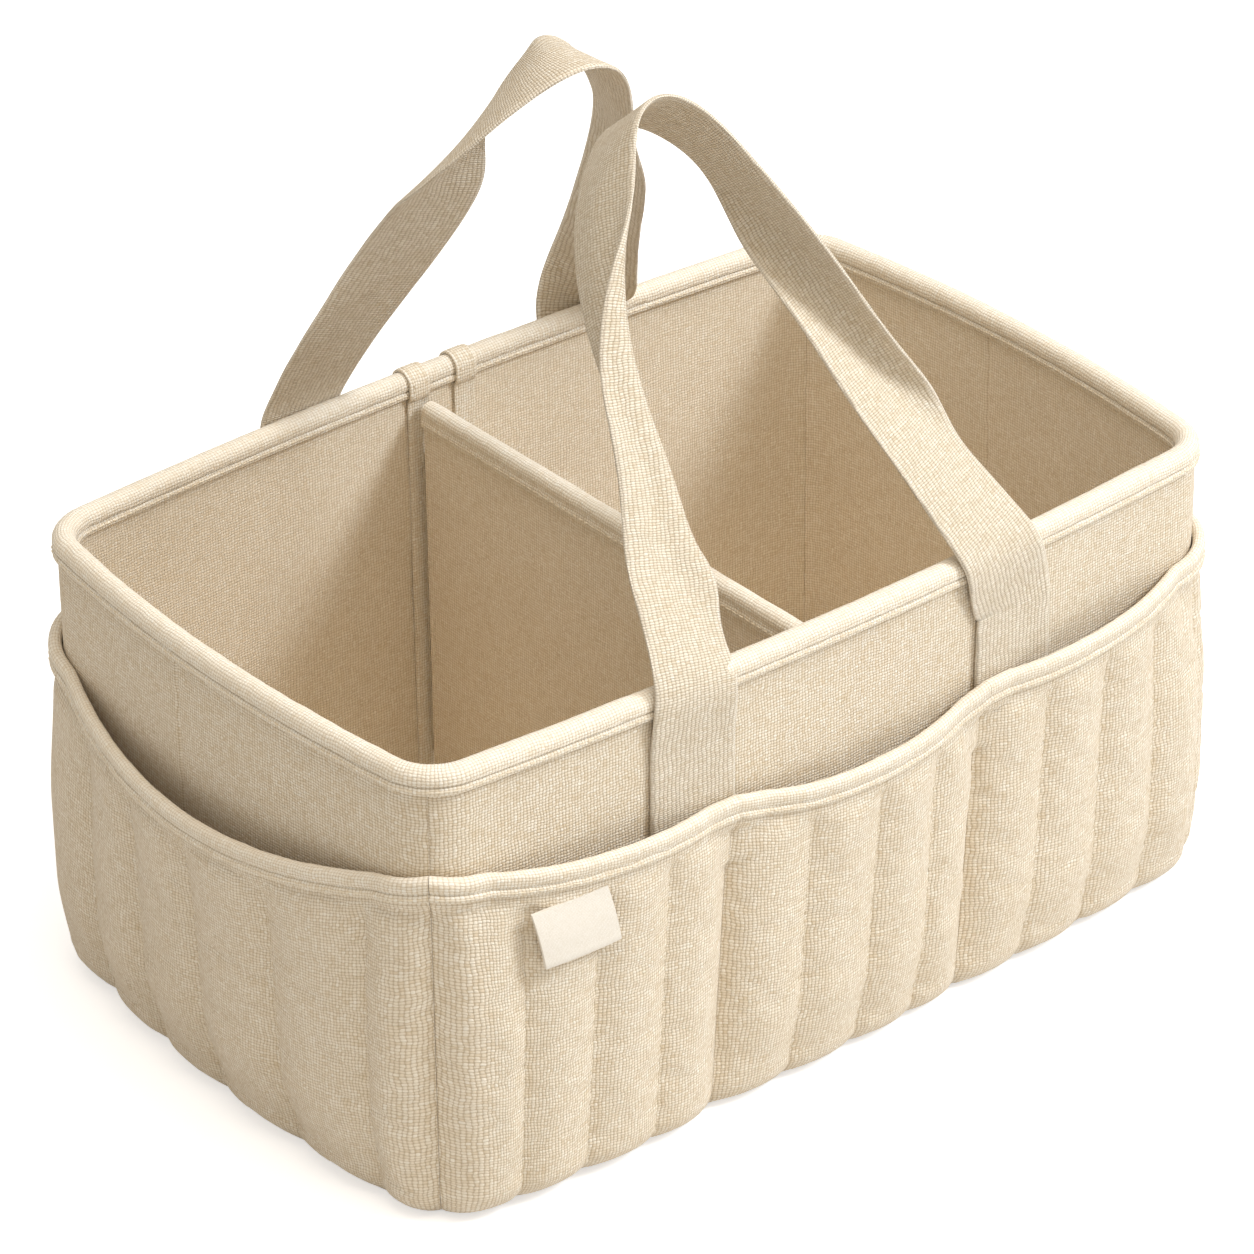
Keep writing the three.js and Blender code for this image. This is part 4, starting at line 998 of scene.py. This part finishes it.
webbing_colours = (239, 230, 213), (218, 204, 180), (180, 160, 130)
webbing = cloth_finish("Cotton webbing", *webbing_colours, pitches=(1.8, 0.9), relief=0.4, wander=0.8)
for number, (name, handle) in enumerate(HANDLES.items()):
    surface = strap_surface(handle)
    run = np.gradient(surface, axis=0)
    spread = np.gradient(surface, axis=1)
    normal = unit(np.cross(run, spread))
    share = np.linspace(-1, 1, surface.shape[1])
    selvedge = 0.18 * np.exp(-(((np.abs(share) - 0.95) / 0.03) ** 2))
    thick = WEBBING_THICKNESS / 2 * (1 - np.abs(share) ** 18 * 0.55) + selvedge
    wave = 0.12 * unevenness(surface, 22, 120 + number)[..., None] * normal
    face = surface + wave + normal * thick[None, :, None]
    back = surface + wave - normal * thick[None, :, None]
    length = running(np.linalg.norm(np.diff(surface.mean(1), axis=0), axis=1))
    # The selvedges are painted paler, partly rubbed wear and partly painted highlight on their lit edges.
    rub_and_highlight = 0.9 * smooth(np.abs(share), 0.9, 0.96)
    across = (share + 1) / 2 * WEBBING_WIDTH
    strap = sewn_sheet(f"{name}_strap", face, back, length, across, webbing, rub_and_highlight=rub_and_highlight, crease=70)
    layer = strap.data.uv_layers["Cloth"]
    swapped = np.empty(len(layer.uv) * 2, np.float32)
    layer.uv.foreach_get("vector", swapped)
    layer.uv.foreach_set("vector", swapped.reshape(-1, 2)[:, ::-1].ravel())
    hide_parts(f"{name}_handle_webbing", f"{name}_left_handle_foot", f"{name}_right_handle_foot")
    wall = float(wall_point(handle["at"](0.0), FOOT_OFFSET, 0.0)[1]) * MM
    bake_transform(strap)

# Anchor strips
# Narrow folded strips of the binding cloth, sewn up the inside of the long walls in pairs. The divider is
# held at one pair and can move to the spare one. Those on the rear wall wrap over the rim and end outside it.

DIVIDER_X = -8.0
STRIP_WIDTH = 9.0
STRIP_LOW, STRIP_HIGH = 9.0, 166.0
STRIP_OFFSET = -3.45
WRAP_ACROSS, WRAP_UP, WRAP_MIDDLE, WRAP_HEIGHT = 5.1, 5.0, 0.1, 173.7
STITCH_SHARE, STITCH_LIFT = 0.62, 0.54
SPARE_SPACING = 19.0
strip_centres = {"divider": DIVIDER_X - STRIP_WIDTH / 4, "spare": DIVIDER_X + SPARE_SPACING}
strip_rows = []
for number, (use, centre) in enumerate(strip_centres.items()):
    for wall, at in (("rear", rear_at), ("front", front_at)):
        heights = np.linspace(STRIP_LOW, STRIP_HIGH, 60)
        offsets = STRIP_OFFSET * np.ones(60)
        if wall == "rear":
            # It steps out over the binding's ledge, goes round the roll and ends below it on the outside.
            arch = np.linspace(0, math.pi, 15)
            over = WRAP_MIDDLE - WRAP_ACROSS * np.cos(arch), WRAP_HEIGHT + WRAP_UP * np.sin(arch)
            offsets = np.concatenate([offsets, [-3.7, -4.4, -5.0, -5.1], over[0], [5.25, 5.3, 5.3]])
            heights = np.concatenate([heights, [167.6, 168.4, 169.4, 171.0], over[1], [171.0, 168.5, 166.2]])
        run = running(np.hypot(np.diff(offsets), np.diff(heights)))
        out = unit(np.stack([np.gradient(heights), -np.gradient(offsets)], -1))
        across = np.linspace(-1, 1, 13)
        sunk = 0.1 * np.exp(-(((np.abs(across) - STITCH_SHARE) / 0.08) ** 2))
        puff = 0.24 * (1 - np.abs(across) ** 6) - sunk
        places = at(centre) + across * STRIP_WIDTH / 2
        faces = []
        for lift in (-(0.4 + puff), 0.38 + 0 * puff):
            lifted = offsets[:, None] + out[:, :1] * lift, heights[:, None] + out[:, 1:] * lift
            faces.append(wall_point(places[None, :], *lifted))
        spread = (across + 1) * STRIP_WIDTH / 2
        strip = sewn_sheet(f"{wall}_{use}_tape", *faces, run, spread, binding, crease=70)
        sew_on(strip, "caddy", "binding_tape", f"{wall}_{use}_strip")
        for side in (-STITCH_SHARE, STITCH_SHARE):
            seam = at(centre) + side * STRIP_WIDTH / 2
            lifted = offsets - out[:, 0] * STITCH_LIFT, heights - out[:, 1] * STITCH_LIFT
            strip_rows.append(wall_point(seam, *lifted))
stitch("strip_stitches", strip_rows, "caddy", pitch=3.0, length=2.1, thickness=0.38, seed=13)

# Divider
# A thin board in a cloth sleeve, bound over its top edge like the rim. Hook tape on its two ends grips the
# anchor strips, so the whole divider peels off and lifts out.

DIVIDER_FOOT, SKIN_TOP, DIVIDER_TOP = 7.9, 163.9, 167.0
DIVIDER_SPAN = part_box("divider_board")[1].y / MM
SKIN_FACES = (1.5, 2.55)
skin_rows = np.linspace(DIVIDER_FOOT, SKIN_TOP, 40)
skin_ends = [-DIVIDER_SPAN + 0.6, DIVIDER_SPAN - 0.6]
skin_places = np.unique(np.concatenate([np.linspace(-DIVIDER_SPAN, DIVIDER_SPAN, 60), skin_ends]))
for side, sense in (("right", 1), ("left", -1)):
    spot = grid_of(DIVIDER_X, skin_places[:, None], skin_rows)
    bulge = 0.3 * unevenness(spot, 55, 150 + sense) + 0.1 * unevenness(spot, 17, 160 + sense)
    edge = np.minimum(DIVIDER_SPAN - np.abs(skin_places), 3.0)
    bulge = bulge * smooth(edge, 0, 3.0)[:, None] - 0.35 * np.exp(-((edge - 2.4) ** 2) / 0.3)[:, None]
    outer = spot + grid_of(sense * (SKIN_FACES[1] + bulge), 0, 0)
    inner = spot + np.array([sense * SKIN_FACES[0], 0, 0])
    skin = sewn_sheet(f"divider_{side}_cloth", outer, inner, skin_places, skin_rows, lining)
    sew_on(skin, "divider", "lining", f"divider_{side}_skin")

FOLD_HALF, FOLD_ROLL = 3.75, 3.3
turns = np.linspace(0, math.pi, 13)
leg_wide = np.array([FOLD_HALF, 3.95, 3.9, 3.4, 3.45, 3.7])
leg_high = DIVIDER_TOP - np.array([9.0, 8.4, 6.6, 5.6, 5.0, 4.2])
roll_high = DIVIDER_TOP - FOLD_ROLL + FOLD_ROLL * np.sin(turns)
fold_wide = np.concatenate([leg_wide, FOLD_HALF * np.cos(turns), -leg_wide[::-1]])
fold_high = np.concatenate([leg_high, roll_high, leg_high[::-1]])
fold_run = running(np.hypot(np.diff(fold_wide), np.diff(fold_high)))
fold_out = unit(np.stack([np.gradient(fold_high), -np.gradient(fold_wide)], -1))
fold_places = np.linspace(-DIVIDER_SPAN, DIVIDER_SPAN, 106)
spot = grid_of(DIVIDER_X + fold_wide, fold_places[:, None], fold_high)
wave = 0.1 * unevenness(spot, 15, 171)[..., None]
outward = grid_of(fold_out[:, 0], 0, fold_out[:, 1])[None]
# The top of the fold is painted paler, partly rubbed wear and partly painted highlight.
fold_rub_and_highlight = smooth(fold_high, DIVIDER_TOP - 3.5, DIVIDER_TOP)
fold_faces = (spot + wave * outward, spot - 0.9 * outward)
fold = sewn_sheet("divider_fold", *fold_faces, fold_places, fold_run, binding, rub_and_highlight=fold_rub_and_highlight, crease=80)
sew_on(fold, "divider", "binding_tape", "divider_binding")
FOLD_STITCH_OUT, FOLD_STITCH_DROP = 4.1, 7.3
SKIN_STITCH_OUT, SKIN_STITCH_INSET, SKIN_STITCH_LOW, SKIN_STITCH_HIGH = 2.6, 2.4, 12, 156
divider_rows = []
for sense in (-1, 1):
    fold_seam = DIVIDER_X + sense * FOLD_STITCH_OUT
    divider_rows.append(grid_of(fold_seam, fold_places[1:-1], DIVIDER_TOP - FOLD_STITCH_DROP))
skin_seam = np.linspace(SKIN_STITCH_LOW, SKIN_STITCH_HIGH, 60)
for sense in (-1, 1):
    for end in (-1, 1):
        seam_y = end * (DIVIDER_SPAN - SKIN_STITCH_INSET)
        divider_rows.append(grid_of(DIVIDER_X + sense * SKIN_STITCH_OUT, seam_y, skin_seam))
stitch("divider_stitches", divider_rows, "divider", pitch=3.2, length=2.5, thickness=0.65, seed=17)

hook_finish = cloth_finish(
    "Hook tape", (236, 226, 206), (214, 200, 174), (170, 150, 118), pitches=(0.8, 0.8), relief=0.4
)
HOOK_HALF, HOOK_ROUGHNESS = 0.45, 0.15
for side in ("front", "rear"):
    low, high = (np.array(corner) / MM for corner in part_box(f"divider_{side}_hook_tape"))
    rows = np.linspace(low[2], high[2], 70)
    places = np.linspace(low[0], high[0], 12)
    spot = grid_of(places, (low[1] + high[1]) / 2, rows[:, None])
    rise = HOOK_HALF + HOOK_ROUGHNESS * np.sin(rows * 4.1)[:, None] * np.sin(places * 5.3)[None, :]
    push = grid_of(0, rise, 0)
    tape = sewn_sheet(f"{side}_hook_strip", spot + push, spot - push, rows, places, hook_finish)
    sew_on(tape, "divider", "hook_tape", f"divider_{side}_hook_tape")

# Tab
# A plain smooth woven ribbon, folded double and caught under the binding of the front left pocket. It is
# blank, a little stiff, and stands away from the quilting at its foot.

TAB_X, TAB_TOP, TAB_DROP, TAB_LENGTH, TAB_HALF_WIDTH = -127.0, 119.2, 21.2, 21.0, 15.0
TAB_SLANT, TAB_STANDOFF, TAB_FLARE = 3.5, 12.9, 3.0
tab_colours = (240, 234, 224), (233, 226, 213), (222, 213, 196)
tab_finish = cloth_finish("Smooth ribbon", *tab_colours, pitches=(0.5, 0.5), relief=0.06, wander=0.1)
tab_middle = front_at(TAB_X)
tab_share = np.linspace(0, 1, 19)
tab_across = np.linspace(-1, 1, 21)
tab_offset = TAB_STANDOFF + TAB_FLARE * tab_share + 0.9 * np.sin(math.pi * tab_share)
tab_height = TAB_TOP - TAB_DROP * tab_share
thick = 0.55 + 0.25 * smooth(tab_share, 0.75, 0.97) - 0.45 * smooth(tab_share, 0.97, 1.0)
places = tab_middle + tab_across[None, :] * TAB_HALF_WIDTH + TAB_SLANT * tab_share[:, None]
curl = 0.5 * (tab_across**2)[None, :] * tab_share[:, None]
tab_front = wall_point(places, (tab_offset + thick)[:, None] - curl, tab_height[:, None] + 0 * curl)
tab_back = wall_point(places, (tab_offset - thick)[:, None] - curl, tab_height[:, None] + 0 * curl)
tab_width = TAB_HALF_WIDTH * (tab_across + 1)
tab = sewn_sheet("blank_tab", tab_front, tab_back, TAB_LENGTH * tab_share, tab_width, tab_finish, crease=60)
sew_on(tab, "tab", "tab", "label_tab")

# Table, light and camera
# A white table top under plain studio light: a soft lamp from the front right and above, a wider one
# overhead and an even pale surround. The camera stands where the photograph was taken from.


def seen_plainly(tree):
    """1 where a ray comes from the camera, straight or by way of metal or glass, and otherwise 0."""
    rays = wire(tree, "ShaderNodeLightPath").outputs
    straight = sums(tree, "MAXIMUM", rays["Is Camera Ray"], rays["Is Glossy Ray"])
    return sums(tree, "MAXIMUM", straight, rays["Is Transmission Ray"])


floor_finish, tree, shader = new_finish("White table")
tree.nodes.remove(shader)
matt = wire(tree, "ShaderNodeBsdfDiffuse", {"Color": (0.8, 0.79, 0.775, 1.0)})
FLOOR_GLOW, SURROUND = 0.55, 0.52
glow_strength = sums(tree, "MULTIPLY", seen_plainly(tree), FLOOR_GLOW)
glow = wire(tree, "ShaderNodeEmission", {"Color": (1.0, 1.0, 1.0, 1.0), "Strength": glow_strength})
both = wire(tree, "ShaderNodeAddShader", {0: matt.outputs[0], 1: glow.outputs[0]})
tree.links.new(both.outputs[0], tree.nodes["Material Output"].inputs["Surface"])
bpy.ops.mesh.primitive_plane_add(size=8.0, location=(0, 0, 0))
table = bpy.context.object
table.name = "table_top"
table.data.materials.append(floor_finish)

world = bpy.data.worlds.new("Studio")
bpy.context.scene.world = world
world.use_nodes = True
tree = world.node_tree
strength = wire(tree, "ShaderNodeMix", {0: seen_plainly(tree), 2: SURROUND, 3: 1.0}).outputs[0]
tree.links.new(strength, tree.nodes["Background"].inputs["Strength"])
tree.nodes["Background"].inputs["Color"].default_value = (1.0, 0.94, 0.86, 1.0)


def lamp(name, place, aim, size, power, colour):
    """A square soft lamp at a place, turned towards what it lights."""
    light = bpy.data.lights.new(name, "AREA")
    light.shape = "SQUARE"
    light.size = size
    light.energy = power
    light.color = colour
    holder = added(name, light)
    holder.location = place
    holder.rotation_euler = (Vector(aim) - Vector(place)).to_track_quat("-Z", "Y").to_euler()


COOL_LIGHT, WARM_LIGHT = (0.85, 0.91, 1.0), (1.0, 0.94, 0.86)
lamp("key_lamp", (1.35, -1.5, 1.9), aim=(0, 0, 0.1), size=0.8, power=53.0, colour=COOL_LIGHT)
lamp("ceiling_lamp", (-0.1, -0.5, 2.4), aim=(0, 0.02, 0.05), size=1.6, power=29.0, colour=WARM_LIGHT)

AZIMUTH, ELEVATION, ROLL = map(math.radians, (-39.159, 31.616, -0.537))
DISTANCE, FOCAL_PIXELS, CENTRE_HEIGHT = 1.9985, 5613.9, 0.0893
PHOTO_PIXELS, SENSOR_WIDTH = 1254, 36.0
OFF_CENTRE = (7.97, 68.77)
back = Vector(
    (math.sin(AZIMUTH) * math.cos(ELEVATION), -math.cos(AZIMUTH) * math.cos(ELEVATION), math.sin(ELEVATION))
)
level_right = Vector((math.cos(AZIMUTH), math.sin(AZIMUTH), 0))
level_up = back.cross(level_right)
right = level_right * math.cos(ROLL) + level_up * math.sin(ROLL)
up = level_up * math.cos(ROLL) - level_right * math.sin(ROLL)
forward = (-back - right * OFF_CENTRE[0] / FOCAL_PIXELS + up * OFF_CENTRE[1] / FOCAL_PIXELS).normalized()
right = (right - forward * right.dot(forward)).normalized()
up = right.cross(forward)
camera = added("camera", bpy.data.cameras.new("camera"))
camera.data.sensor_width = SENSOR_WIDTH
camera.data.lens = SENSOR_WIDTH * FOCAL_PIXELS / PHOTO_PIXELS
camera.matrix_world = Matrix(
    (
        (right.x, up.x, -forward.x, back.x * DISTANCE),
        (right.y, up.y, -forward.y, back.y * DISTANCE),
        (right.z, up.z, -forward.z, back.z * DISTANCE + CENTRE_HEIGHT),
        (0, 0, 0, 1),
    )
)
camera.data.clip_start, camera.data.clip_end = 0.05, 50.0
bpy.context.scene.camera = camera
bpy.context.scene.view_settings.view_transform = "Standard"
